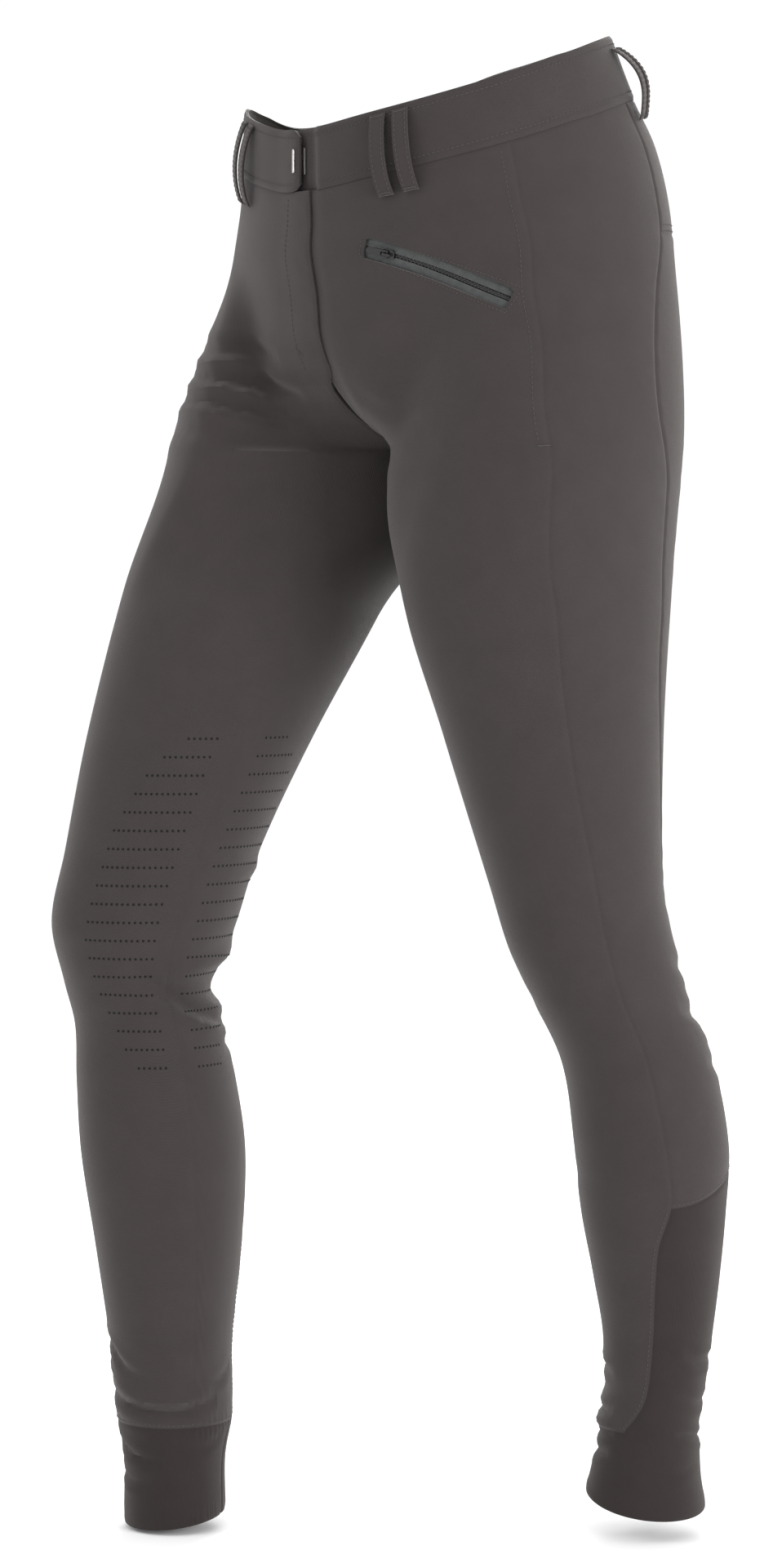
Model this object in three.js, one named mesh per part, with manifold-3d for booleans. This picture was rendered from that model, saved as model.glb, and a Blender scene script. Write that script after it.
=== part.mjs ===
// Riding breeches, worn hollow: the right leg a step forward, the left leg back.
// Millimetres, +Z up, -Y the wearer's front, +X the wearer's left.
// The origin is in the middle of the waist opening, within the waistband's height.
import * as THREE from 'three';
import Module from 'manifold-3d';
import { mergeVertices } from 'three/addons/utils/BufferGeometryUtils.js';

const wasm = await Module();
wasm.setup();

// Driving dimensions
const CLOTH = 1.6; // wall of the stretch cloth and of the jersey
const BAND_WALL = 2.4; // waistband, two layers
const BAND_PROUD = 0.8; // the band stands this far out of the panels
const SEAM_HALF = 0.18; // each piece stops this far short of its seam line
const BAND_TOP = 17;
const BAND_BOTTOM = -23;
const BAND_MIDDLE = (BAND_TOP + BAND_BOTTOM) / 2;
const CROTCH_Z = -231;
const CROTCH_Y = 10;
const HEM_Z = -933;
const ANKLE_BAND = 58; // plain band of jersey above the hem
const SMOOTH_STEP = 0.5; // mm, for slopes of the surface
const SHARE_STEP = 0.002; // share round, for slopes of the surface
const SEAT_GAP = 0.35; // between pieces that lie on each other
const EASE_FROM = -70; // where the trunk begins to turn into legs
const TURN_UNDER = { middle: -145, side: -110 }; // where it begins to curve under
const INSEAM_LAG = { degrees: 10, fullAt: 400 }; // the inseam lies behind the leg's inner side
const INNER_PULL = 110; // below the crotch, the legs are drawn to its line this far
const LEGS_PART = 0.06; // mm of gap per mm down from the crotch
const TRUNK_FULLNESS = 0.93; // 1 is an ellipse, less is squarer
const FLY_END_Z = -178;
const LAP_SHARE = 0.013; // the right front runs this share past the centre
const RIGHT_EDGE = { out: 1.3, to: 0.05 }; // mm out at the fly, eased away by this share
const LEFT_EDGE = { in: 1.2, from: 0.014, to: 0.035 };
const TAB_END = 0.0015;
const TAB_ROUND = 0.016;
const TAB_NARROWS = 0.26; // how much lower the tab is at its very end
const TAB_LIFT = 2.0;
const TAB_LIFT_TO = 0.06;
const TAB_COLUMNS = [0, 0.006, 0.013, 0.024];
const UNDERLAP_END = -0.055;
const UNDERLAP_IN = 4.0;
const UNDERLAP_COLUMNS = [-0.03, -0.008];
const STEP_FROM = 0.018;
const STEP_TO = 0.027;
const CLASP = {
  bar: { share: -0.001, wide: 1.8, tall: 17, thick: 1.6 },
  hook: { share: 0.012, wide: 6, tall: 14, thick: 1, gap: 0.6 },
  face: { share: 0.010, wide: 1.8, tall: 15, thick: 0.8 },
};
const LOOP_WIDTH = 11;
const LOOP_WALL = 1.6;
const LOOP_SEAT = 0.45;
const LOOP_STEPS = 10;
const LOOP_BOW = 0.8; // less makes the loop's ends turn in more sharply
const TAPE_WALL = 0.8;
const TAPE_UNDER = 4; // the tape goes this far under the cloth beside the window
const TAPE_GAP = 0.5; // between the tapes and the back of the cloth
const COIL_HALF = 1.4;
const COIL_WALL = 1.4;
const COIL_PROUD = 0.1; // the coil stands this far out of the tapes
const COIL_GAP = 0.3; // from the coil to each tape
const ZIP_STEPS = 12;
const ZIP_PAST = 0.03; // the tapes and coil run past the window by this share of its length
const POCKET = { fromShare: 0.103, toShare: 0.329, fromZ: -86.5, toZ: -138.5, high: 13.5, bow: 3 };
const pocketSlope = (POCKET.toZ - POCKET.fromZ) / (POCKET.toShare - POCKET.fromShare);
const SLIDER = {
  along: 0.15, long: 9, wide: 6.6, narrow: 4.2, thick: 1.6,
  bridge: { long: 5.6, wide: 1.6, wall: 0.9, high: 3.0 },
};
const PULL = { long: 15, wide: 5, bar: 1, eye: 4, hole: 2.6 };

// Belt loops on each half: which, share round from the front, stand-off, top and bottom
const LOOPS = {
  columns: ['name', 'share', 'stand', 'top', 'bottom'],
  rows: [
    ['front_1', 0.150, 7.5, 14, -41],
    ['front_2', 0.190, 7.5, 14, -41],
    ['back_1', 0.655, 12.5, 9, -35],
    ['back_2', 0.695, 12.5, 9, -35],
  ],
};

// Helpers for the tables
const clamp01 = (x) => Math.min(1, Math.max(0, x));
const smooth = (a, b, x) => {
  const s = clamp01((x - a) / (b - a));
  return s * s * (3 - 2 * s);
};
const mix = (a, b, s) => a + (b - a) * s;
const hump = (x) => Math.exp(-x * x);

// A table row is read at height z with a smooth curve through the rows (Catmull-Rom slopes).
function read(table, column, z) {
  const rows = table.rows;
  const k = table.columns.indexOf(column);
  if (z >= rows[0][0]) return rows[0][k];
  const last = rows.length - 1;
  if (z <= rows[last][0]) return rows[last][k];
  let i = 0;
  while (z < rows[i + 1][0]) i += 1;
  const slope = (n) => {
    const above = rows[Math.max(n - 1, 0)];
    const below = rows[Math.min(n + 1, last)];
    return (below[k] - above[k]) / (below[0] - above[0]);
  };
  const h = rows[i + 1][0] - rows[i][0];
  const s = (z - rows[i][0]) / h;
  const s2 = s * s;
  const s3 = s2 * s;
  return (2 * s3 - 3 * s2 + 1) * rows[i][k] + (s3 - 2 * s2 + s) * h * slope(i)
    + (-2 * s3 + 3 * s2) * rows[i + 1][k] + (s3 - s2) * h * slope(i + 1);
}

// Torso sections: half width, depth to the front and to the back, how much of the top
// line's rise the section takes, and how far it is shifted back
const TORSO = {
  columns: ['z', 'side', 'front', 'back', 'slant', 'shift'],
  rows: [
    [23, 131, 101, 104, 1, -6.5],
    [-23, 141, 114, 110, 1, 6.5],
    [-50, 149, 120, 121, 0.83, 13],
    [-84, 158, 126, 123, 0.5, 18],
    [-127, 165, 121, 122, 0.17, 18],
    [-170, 169, 118, 121, 0, 17],
    [-235, 170, 112, 118, 0, 14],
  ],
};

// Rise of the top line by the share round from the centre front: the front is low, the left
// hip carries the weight and stands higher
const RISE = {
  columns: ['share', 'left', 'right'],
  rows: [
    [1.0, 18, 18],
    [0.9, 18.5, 15],
    [0.8, 20, 5],
    [0.7, 18.5, -4],
    [0.6, 11, -13],
    [0.5, -0.4, -22],
    [0.4, -13, -19],
    [0.3, -23.7, -18],
    [0.2, -32.5, -27],
    [0.1, -39.4, -37],
    [0.04, -42.8, -42.6],
    [0, -43.3, -43.3],
  ],
};

// Leg sections: centre, half depth front to back, half width side to side, turn of the
// leg's front towards the wearer's right
const RIGHT_LEG = {
  columns: ['z', 'x', 'y', 'deep', 'wide', 'turn'],
  rows: [
    [-125, -81, -8, 120, 86, 0],
    [-231, -85, -36, 98, 83, 0],
    [-320, -98, -67, 91, 76, 20],
    [-419, -113, -105, 76, 66, 25],
    [-495, -121, -131, 65, 58, 25],
    [-541, -126, -142, 62, 54, 25],
    [-581, -128, -145, 50, 50, 25],
    [-610, -126, -139, 49, 49, 25],
    [-645, -122, -136, 53, 51, 25],
    [-695, -118, -133, 55, 51, 25],
    [-757, -115, -131, 49, 46, 25],
    [-823, -114, -130, 41, 39, 25],
    [-870, -113, -128, 39, 36, 25],
    [-900, -113, -128, 34, 33, 25],
    [-933, -113, -128, 34, 33, 25],
  ],
};
const LEFT_LEG = {
  columns: ['z', 'x', 'y', 'deep', 'wide', 'turn'],
  rows: [
    [-125, 91, 22, 98, 84, 0],
    [-231, 92, 17, 94, 86, 2],
    [-320, 92, 12, 89, 77, 20],
    [-416, 92, 27, 72, 65, 25],
    [-515, 94, 46, 57, 54, 25],
    [-555, 98, 56, 55, 51, 25],
    [-585, 103, 66, 52, 49, 25],
    [-631, 112, 84, 50, 50, 25],
    [-686, 115, 94, 51, 51, 25],
    [-730, 114, 97, 48, 47, 25],
    [-774, 113, 101, 42, 41, 25],
    [-818, 112, 103, 36, 35, 25],
    [-873, 106, 102, 34, 34, 25],
    [-907, 103, 101, 37, 35, 25],
    [-933, 101, 101, 40, 37, 25],
  ],
};

// Seam lines on each half, as the share of the way round from the front crotch line or
// inseam, past the side, to the back crotch line or inseam
const SEAMS = {
  columns: ['z', 'outseam', 'back'],
  rows: [
    [23, 0.362, 0.64],
    [-23, 0.360, 0.632],
    [-65, 0.350, 0.625],
    [-98, 0.353, 0.605],
    [-130, 0.358, 0.562],
    [-169, 0.379, 0.539],
    [-212, 0.392, 0.543],
    [-259, 0.423, 0.589],
    [-329, 0.486, 0.655],
    [-365, 0.500, 0.67],
    [-438, 0.508, 0.70],
    [-518, 0.517, 0.72],
    [-593, 0.507, 0.735],
    [-645, 0.500, 0.75],
    [-697, 0.510, 0.775],
    [-722, 0.515, 0.785],
    [-752, 0.483, 0.79],
    [-813, 0.463, 0.81],
    [-845, 0.457, 0.82],
    [-860, 0.435, 0.82],
    [-875, 0.395, 0.82],
    [-933, 0.395, 0.83],
  ],
};

// The largest folds: on which half, the middle (share round, height), length round and
// width down in mm, lean (drop per mm round), and height of the fold, minus for a trough
const FOLDS = {
  columns: ['half', 'round', 'z', 'long', 'wide', 'lean', 'high'],
  rows: [
    ['right', 0.22, -172, 52, 10, 0.0, -2.6],
    ['right', 0.23, -198, 56, 10, 0.0, -3.2],
    ['right', 0.22, -222, 48, 9, 0.0, -2.6],
    ['right', 0.80, -516, 30, 7, 0.1, 2.5],
    ['right', 0.80, -560, 36, 8, 0.15, 4.0],
    ['right', 0.80, -585, 40, 7, 0.2, -3.5],
    ['right', 0.80, -601, 34, 7, 0.15, 3.0],
    ['right', 0.55, -857, 46, 7, 0.05, -2.2],
    ['left', 0.80, -597, 34, 8, 0.1, -2.0],
    ['left', 0.25, -847, 26, 8, 0.1, -2.2],
    ['left', 0.25, -890, 22, 6, 0.1, -1.8],
    ['left', 0.78, -875, 24, 8, 0.1, -1.8],
  ],
};

// Hems: mean height, dip below it, and the place round the leg where it is lowest
const LEFT_HEM = { z: -920, dip: 8, lowest: 0.58 };
const RIGHT_HEM = { z: -936, dip: 9, lowest: 0.3 };

const HALVES = {
  left: { name: 'left', sign: 1, leg: LEFT_LEG, hem: LEFT_HEM },
  right: { name: 'right', sign: -1, leg: RIGHT_LEG, hem: RIGHT_HEM },
};

// The plain section of the trunk at height z, on one half
function trunkPoint(half, share, z) {
  const angle = Math.PI * share;
  const front = read(TORSO, 'front', z);
  const back = read(TORSO, 'back', z);
  const depth = mix(front, back, smooth(0.3, 0.7, share));
  const fullness = TRUNK_FULLNESS;
  const across = Math.sign(Math.sin(angle)) * Math.abs(Math.sin(angle)) ** fullness;
  const x = half.sign * read(TORSO, 'side', z) * across;
  const y = -depth * Math.sign(Math.cos(angle)) * Math.abs(Math.cos(angle)) ** fullness;
  const rise = read(TORSO, 'slant', z) * read(RISE, half.name, Math.abs(share));
  return new THREE.Vector3(x, y + read(TORSO, 'shift', z), z + rise);
}

// The plain section of a leg at height z; near the crotch its inner point is drawn to the
// crotch line, and it leaves that line as the leg goes down
function legPoint(half, share, z) {
  const turn = THREE.MathUtils.degToRad(read(half.leg, 'turn', z));
  const ahead = new THREE.Vector3(-Math.sin(turn), -Math.cos(turn), 0);
  const outward = new THREE.Vector3(Math.cos(turn), -Math.sin(turn), 0)
    .multiplyScalar(half.sign);
  const centre = new THREE.Vector3(read(half.leg, 'x', z), read(half.leg, 'y', z), z);
  const deep = read(half.leg, 'deep', z);
  const wide = read(half.leg, 'wide', z);
  const lag = INSEAM_LAG.degrees * smooth(-CROTCH_Z, INSEAM_LAG.fullAt, -z);
  const place = (s) => {
    const angle = THREE.MathUtils.degToRad(360 * s - 90 - lag);
    return centre.clone()
      .addScaledVector(ahead, deep * Math.cos(angle))
      .addScaledVector(outward, wide * Math.sin(angle));
  };
  const point = place(share);
  const pull = 1 - smooth(0, INNER_PULL, CROTCH_Z - z);
  const away = LEGS_PART * Math.max(0, CROTCH_Z - z);
  const anchor = new THREE.Vector3(half.sign * away, CROTCH_Y, z);
  const drawn = pull * smooth(0, 1, Math.cos(2 * Math.PI * share));
  return point.addScaledVector(anchor.sub(place(0)), drawn);
}

// The worn surface without its folds
function bareSurface(half, share, z) {
  const depthShare = (top) => clamp01((top - z) / (top - CROTCH_Z));
  const top = mix(TURN_UNDER.middle, TURN_UNDER.side, smooth(0.2, 0.8, share));
  const q = depthShare(top);
  const turnUnder = 1 - Math.sqrt(1 - q * q);
  const ease = smooth(0, 1, depthShare(EASE_FROM));
  const end = smooth(0, 1, Math.cos(2 * Math.PI * share));
  const legward = mix(ease, turnUnder, end);
  if (legward >= 1) return legPoint(half, share, z);
  const trunk = trunkPoint(half, share, z);
  if (legward <= 0) return trunk;
  return trunk.lerp(legPoint(half, share, z), legward);
}

function slopeNormal(surface, half, share, z) {
  const du = SHARE_STEP;
  const dz = SMOOTH_STEP;
  const around = surface(half, share + du, z).sub(surface(half, share - du, z));
  const lower = Math.max(z - dz, HEM_Z - 30);
  const up = surface(half, share, z + dz).sub(surface(half, share, lower));
  return around.cross(up).multiplyScalar(half.sign).normalize();
}

const ringLength = (half, z) => {
  const deep = read(half.leg, 'deep', z);
  const wide = read(half.leg, 'wide', z);
  return 2 * Math.PI * Math.sqrt((deep * deep + wide * wide) / 2);
};

function foldHeight(half, share, z) {
  let height = 0;
  const ring = ringLength(half, z);
  for (const [name, round, middle, long, wide, lean, high] of FOLDS.rows) {
    if (name !== half.name) continue;
    const along = (share - round) * ring;
    const across = z - middle + lean * along;
    height += high * hump(along / long) * hump(across / wide);
  }
  return height;
}

// Columns of the grid: counts for the front, the side back and the seat
const COLUMNS = { front: 9, side: 5, seat: 8 };
const I_OUT = COLUMNS.front;
const I_BACK = I_OUT + COLUMNS.side;
const I_END = I_BACK + COLUMNS.seat;

// Rows of the grid: each stretch ends at a height and has so many steps
const STRETCHES = [
  { name: 'band', to: BAND_BOTTOM, steps: 3 },
  { name: 'yoke', to: -98, steps: 4 },
  { name: 'hip', to: -150, steps: 4 },
  { name: 'groin', to: CROTCH_Z, steps: 10 },
  { name: 'thigh', to: -485, steps: 11 },
  { name: 'knee', to: -625, steps: 13 },
  { name: 'calf', to: -722, steps: 5 },
  { name: 'shin', to: HEM_Z + ANKLE_BAND, steps: 9 },
  { name: 'ankle', to: HEM_Z, steps: 5 },
];
const ROWS = [BAND_TOP];
const ROW_AT = { top: 0 };
for (const stretch of STRETCHES) {
  const from = ROWS[ROWS.length - 1];
  for (let n = 1; n <= stretch.steps; n += 1) {
    let s = n / stretch.steps;
    if (stretch.name === 'groin') s = Math.sin(s * Math.PI / 2);
    ROWS.push(mix(from, stretch.to, s));
  }
  ROW_AT[stretch.name] = ROWS.length - 1;
}

// The insert's top edge climbs from the outseam to the back seam
const INSERT_CLIMB = 22;

// Down the fly the right front stands out and laps over the left. The lap runs out before the
// step does, and below they meet edge to edge.
const flyStep = (z) => smooth(FLY_END_Z - 25, FLY_END_Z, z);
const flyRun = (z) => smooth(FLY_END_Z + 4, FLY_END_Z + 18, z);

function gridShare(half, i, z) {
  const outseam = read(SEAMS, 'outseam', z);
  const back = read(SEAMS, 'back', z);
  if (i <= I_OUT) {
    const lap = half.name === 'right' ? LAP_SHARE * flyRun(z) * (1 - i / I_OUT) ** 4 : 0;
    return outseam * i / I_OUT - lap;
  }
  if (i <= I_BACK) return mix(outseam, back, (i - I_OUT) / COLUMNS.side);
  return mix(back, 1, (i - I_BACK) / COLUMNS.seat);
}

function gridHeight(half, i, j) {
  const near = hump((j - ROW_AT.calf) / 3) * (j < ROW_AT.shin ? 1 : 0);
  const climb = i <= I_BACK ? smooth(I_OUT, I_BACK, i) : smooth(I_END, I_BACK, i);
  const ankle = clamp01((j - ROW_AT.shin) / (ROW_AT.ankle - ROW_AT.shin));
  const { z, dip, lowest } = half.hem;
  const turn = 2 * Math.PI * (gridShare(half, i, HEM_Z) - lowest);
  const hemDrop = z - dip * Math.cos(turn) - HEM_Z;
  return ROWS[j] + INSERT_CLIMB * near * climb + hemDrop * ankle;
}

function lapOut(half, share, z) {
  if (half.name === 'right') {
    return RIGHT_EDGE.out * (1 - smooth(0, RIGHT_EDGE.to, share)) * flyStep(z);
  }
  return -LEFT_EDGE.in * (1 - smooth(LEFT_EDGE.from, LEFT_EDGE.to, share)) * flyStep(z);
}

// A point of the worn cloth's outer face with its direction out
function worn(half, share, z, out = 0) {
  const normal = slopeNormal(bareSurface, half, share, z);
  const lift = foldHeight(half, share, z) + lapOut(half, share, z) + out;
  return { point: bareSurface(half, share, z).addScaledVector(normal, lift), normal };
}

function gridPoint(half, i, j) {
  const z = gridHeight(half, i, j);
  const share = gridShare(half, i, z);
  const onMiddle = (i === 0 || i === I_END) && j <= ROW_AT.groin;
  if (!onMiddle) return worn(half, share, z);
  const above = j === ROW_AT.groin ? z + 1 : z;
  const normal = slopeNormal(bareSurface, half, share, above).setX(0).normalize();
  const lift = lapOut(half, share, z) * (i === 0 ? 1 : 0);
  return { point: bareSurface(half, share, z).addScaledVector(normal, lift), normal };
}

// A patch is a set of keyed points with their directions out, and four-cornered cells.
// Its wall has an outer face, an inner face and strips round its open edges, and its
// outline is drawn in by the seam allowance.
function wallGeometry(patch, thick, seam = SEAM_HALF) {
  const { points, cells } = patch;
  const keys = [...points.keys()];
  const place = new Map(keys.map((key, n) => [key, n]));
  const used = new Set();
  for (const cell of cells) {
    for (let n = 0; n < 4; n += 1) used.add(`${cell[n]}>${cell[(n + 1) % 4]}`);
  }
  const edges = [];
  const draws = new Map(keys.map((key) => [key, new Set()]));
  for (const cell of cells) {
    for (let n = 0; n < 4; n += 1) {
      const from = cell[n];
      const to = cell[(n + 1) % 4];
      if (used.has(`${to}>${from}`)) continue;
      edges.push([from, to]);
      draws.get(from).add(cell[(n + 3) % 4]);
      draws.get(to).add(cell[(n + 2) % 4]);
    }
  }
  const outer = [];
  const inner = [];
  for (const key of keys) {
    const { point, normal } = points.get(key);
    const moved = point.clone();
    for (const other of draws.get(key)) {
      const draw = points.get(other).point.clone().sub(point).normalize();
      moved.addScaledVector(draw, seam);
    }
    outer.push(moved.x, moved.y, moved.z);
    moved.addScaledVector(normal, -thick);
    inner.push(moved.x, moved.y, moved.z);
  }
  const index = [];
  const count = keys.length;
  const quad = (a, b, c, d) => index.push(a, b, c, a, c, d);
  for (const cell of cells) {
    const [a, b, c, d] = cell.map((key) => place.get(key));
    quad(a, b, c, d);
    quad(c + count, b + count, a + count, d + count);
  }
  for (const [from, to] of edges) {
    const a = place.get(from);
    const b = place.get(to);
    quad(b, a, a + count, b + count);
  }
  const geometry = new THREE.BufferGeometry();
  geometry.setAttribute('position', new THREE.Float32BufferAttribute([...outer, ...inner], 3));
  geometry.setIndex(index);
  return facingOut(geometry);
}

// Turns the faces outward where a patch was laid out the other way round
function facingOut(geometry) {
  const p = geometry.getAttribute('position');
  const index = geometry.getIndex().array;
  const a = new THREE.Vector3();
  const b = new THREE.Vector3();
  const c = new THREE.Vector3();
  let volume = 0;
  for (let n = 0; n < index.length; n += 3) {
    a.fromBufferAttribute(p, index[n]);
    b.fromBufferAttribute(p, index[n + 1]);
    c.fromBufferAttribute(p, index[n + 2]);
    volume += a.dot(b.cross(c));
  }
  if (volume < 0) {
    const turned = [];
    for (let n = 0; n < index.length; n += 3) turned.push(index[n], index[n + 2], index[n + 1]);
    geometry.setIndex(turned);
  }
  geometry.computeVertexNormals();
  return geometry;
}

// A patch from rows of points
function rowsPatch(rows) {
  const points = new Map();
  const cells = [];
  rows.forEach((row, r) => row.forEach((p, c) => points.set(`${r}_${c}`, p)));
  for (let r = 0; r < rows.length - 1; r += 1) {
    for (let c = 0; c < rows[0].length - 1; c += 1) {
      cells.push([`${r}_${c}`, `${r + 1}_${c}`, `${r + 1}_${c + 1}`, `${r}_${c + 1}`]);
    }
  }
  return { points, cells };
}

// A patch of the grid, made of blocks given by two rows and two columns; a block that runs
// all the way round closes on itself at the inseam
function gridPatch(half, blocks) {
  const points = new Map();
  const cells = [];
  const key = (i, j, ring) => {
    const column = ring && i === I_END ? 0 : i;
    const name = `${j}_${column}`;
    if (!points.has(name)) points.set(name, gridPoint(half, column, j));
    return name;
  };
  for (const { rows, cols } of blocks) {
    const ring = cols[0] === 0 && cols[1] === I_END;
    for (let j = rows[0]; j < rows[1]; j += 1) {
      for (let i = cols[0]; i < cols[1]; i += 1) {
        cells.push([key(i, j, ring), key(i, j + 1, ring), key(i + 1, j + 1, ring), key(i + 1, j, ring)]);
      }
    }
  }
  return { points, cells };
}

// Finishes
const finish = (color, roughness, metalness = 0) => new THREE.MeshStandardMaterial({
  color, roughness, metalness,
});
const STRETCH_CLOTH = finish(0x4d4846, 0.85);
const JERSEY = finish(0x403a39, 0.95);
const ZIP_TAPE = finish(0x6e7373, 0.35);
const COIL = finish(0x1d1c1c, 0.5);
const BLACK_METAL = finish(0x161616, 0.35, 0.6);
const BRIGHT_METAL = finish(0xb9b7b2, 0.25, 1);

const breeches = new THREE.Group();

function add(name, geometry, material) {
  const mesh = new THREE.Mesh(geometry, material);
  mesh.name = name;
  breeches.add(mesh);
  return mesh;
}

// Waistband: both halves follow the trunk from the centre front to the centre back. The right
// end is a tab with rounded corners that stands off, and the left end steps in behind it.
const bandSquare = (half, share) => {
  if (half.name === 'left') return 1;
  const s = clamp01((TAB_END + TAB_ROUND - share) / TAB_ROUND);
  return 1 - TAB_NARROWS * s * s;
};

function bandPatch(half, shares, outBy) {
  const rowCount = 4;
  const rows = [];
  for (let r = 0; r < rowCount; r += 1) {
    const level = mix(BAND_TOP, BAND_BOTTOM, r / (rowCount - 1));
    rows.push(shares.map((share) => {
      const z = mix(BAND_MIDDLE, level, bandSquare(half, share));
      const normal = slopeNormal(bareSurface, half, share, z);
      if (share === 1) normal.setX(0).normalize();
      const point = bareSurface(half, share, z).addScaledVector(normal, outBy(share));
      return { point, normal };
    }));
  }
  return rowsPatch(rows);
}

// The band's columns are the panels' own, so that both sides of the seam run alike
function bandShares(half, first) {
  const shares = [...first];
  for (let i = 0; i <= I_END; i += 1) {
    const share = gridShare(half, i, BAND_BOTTOM);
    if (share > shares[shares.length - 1] + 0.005) shares.push(share);
  }
  return shares;
}

const tabOut = (share) => BAND_PROUD + TAB_LIFT * (1 - smooth(0, TAB_LIFT_TO, share));

function buildWaistband() {
  const { left, right } = HALVES;
  const tab = TAB_COLUMNS.map((s) => TAB_END + s);
  const rightBand = bandPatch(right, bandShares(right, tab), tabOut);
  add('waistband_right', wallGeometry(rightBand, BAND_WALL), STRETCH_CLOTH);
  const behind = [UNDERLAP_END, ...UNDERLAP_COLUMNS, STEP_FROM, STEP_TO];
  const leftOut = (share) => BAND_PROUD - UNDERLAP_IN * (1 - smooth(STEP_FROM, STEP_TO, share));
  const leftBand = bandPatch(left, bandShares(left, behind), leftOut);
  add('waistband_left', wallGeometry(leftBand, BAND_WALL), STRETCH_CLOTH);
}

// Main panels and the jersey insert of each half
function buildPanels(half) {
  const { band, yoke, calf, shin, ankle } = ROW_AT;
  const piece = (name, material, blocks) => {
    add(`${name}_${half.name}`, wallGeometry(gridPatch(half, blocks), CLOTH), material);
  };
  piece('front', STRETCH_CLOTH, [{ rows: [band, shin], cols: [0, I_OUT] }]);
  piece('side_back', STRETCH_CLOTH, [{ rows: [band, calf], cols: [I_OUT, I_BACK] }]);
  piece('yoke', STRETCH_CLOTH, [{ rows: [band, yoke], cols: [I_BACK, I_END] }]);
  piece('seat', STRETCH_CLOTH, [{ rows: [yoke, shin], cols: [I_BACK, I_END] }]);
  piece('cuff', JERSEY, [
    { rows: [calf, shin], cols: [I_OUT, I_BACK] },
    { rows: [shin, ankle], cols: [0, I_END] },
  ]);
}

// Belt loops: straps that leave the band below its top edge and come back under its seam
function loopPatch(half, share, stand, top, bottom) {
  const steps = LOOP_STEPS;
  const halfWidth = LOOP_WIDTH / 2;
  const rows = [];
  for (let n = 0; n <= steps; n += 1) {
    const s = n / steps;
    const z = mix(top, bottom, s);
    const rest = BAND_PROUD + LOOP_SEAT + LOOP_WALL;
    const out = rest + (stand - LOOP_WALL) * Math.sin(Math.PI * s) ** LOOP_BOW;
    const middle = worn(half, share, z);
    const side = worn(half, share + 0.01, z).point.sub(middle.point).normalize();
    rows.push([-halfWidth, halfWidth].map((offset) => {
      const point = middle.point.clone().addScaledVector(side, offset);
      return { point: point.addScaledVector(middle.normal, out), normal: middle.normal };
    }));
  }
  return rowsPatch(rows);
}

function buildLoops() {
  for (const half of Object.values(HALVES)) {
    for (const [name, ...shape] of LOOPS.rows) {
      const geometry = wallGeometry(loopPatch(half, ...shape), LOOP_WALL, 0);
      add(`belt_loop_${name}_${half.name}`, geometry, STRETCH_CLOTH);
    }
  }
}

// Solids for cutting and joining
function toSolid(geometry) {
  const plain = new THREE.BufferGeometry();
  plain.setAttribute('position', geometry.getAttribute('position').clone());
  if (geometry.getIndex()) plain.setIndex(geometry.getIndex().clone());
  const merged = mergeVertices(plain, 1e-4);
  const vertProperties = new Float32Array(merged.getAttribute('position').array);
  const triVerts = new Uint32Array(merged.getIndex().array);
  return new wasm.Manifold(new wasm.Mesh({ numProp: 3, vertProperties, triVerts }));
}

function toGeometry(solid) {
  const mesh = solid.getMesh();
  const geometry = new THREE.BufferGeometry();
  geometry.setAttribute('position', new THREE.Float32BufferAttribute(mesh.vertProperties, 3));
  geometry.setIndex(new THREE.BufferAttribute(mesh.triVerts, 1));
  geometry.computeVertexNormals();
  return geometry;
}

// A point on the flat faces of a front panel, so that the pocket lies along them
function frontPlace(half, share, z, out) {
  let i = 0;
  while (i < I_OUT - 1 && gridShare(half, i + 1, z) < share) i += 1;
  let j = 0;
  while (ROWS[j + 1] > z) j += 1;
  const s = (share - gridShare(half, i, z)) / (gridShare(half, i + 1, z) - gridShare(half, i, z));
  const t = (z - ROWS[j]) / (ROWS[j + 1] - ROWS[j]);
  const above = gridPoint(half, i, j).point.lerp(gridPoint(half, i + 1, j).point, s);
  const below = gridPoint(half, i, j + 1).point.lerp(gridPoint(half, i + 1, j + 1).point, s);
  const { normal } = worn(half, share, z);
  return { point: above.lerp(below, t).addScaledVector(normal, out), normal };
}

// Zip pocket on the left front. A place on it is given by the share of its length from the
// front end and by the distance above its middle line.
function pocketPlace(along, above, out) {
  const share = mix(POCKET.fromShare, POCKET.toShare, along);
  const z = mix(POCKET.fromZ, POCKET.toZ, along) - POCKET.bow * Math.sin(Math.PI * along);
  const step = 0.004;
  const start = worn(HALVES.left, share, z);
  const ahead = worn(HALVES.left, share + step, z + step * pocketSlope).point.sub(start.point);
  const round = Math.hypot(ahead.x, ahead.y);
  const length = ahead.length();
  const leanShare = -above * (ahead.z / length) * (step / round);
  const place = frontPlace(HALVES.left, share + leanShare, z + above * round / length, out);
  return { ...place, ahead: ahead.normalize() };
}

function pocketStrip(fromAlong, toAlong, low, high, out) {
  const steps = ZIP_STEPS;
  const rows = [high, low].map((above) => {
    const row = [];
    for (let n = 0; n <= steps; n += 1) {
      row.push(pocketPlace(mix(fromAlong, toAlong, n / steps), above, out));
    }
    return row;
  });
  return rowsPatch(rows);
}

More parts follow.
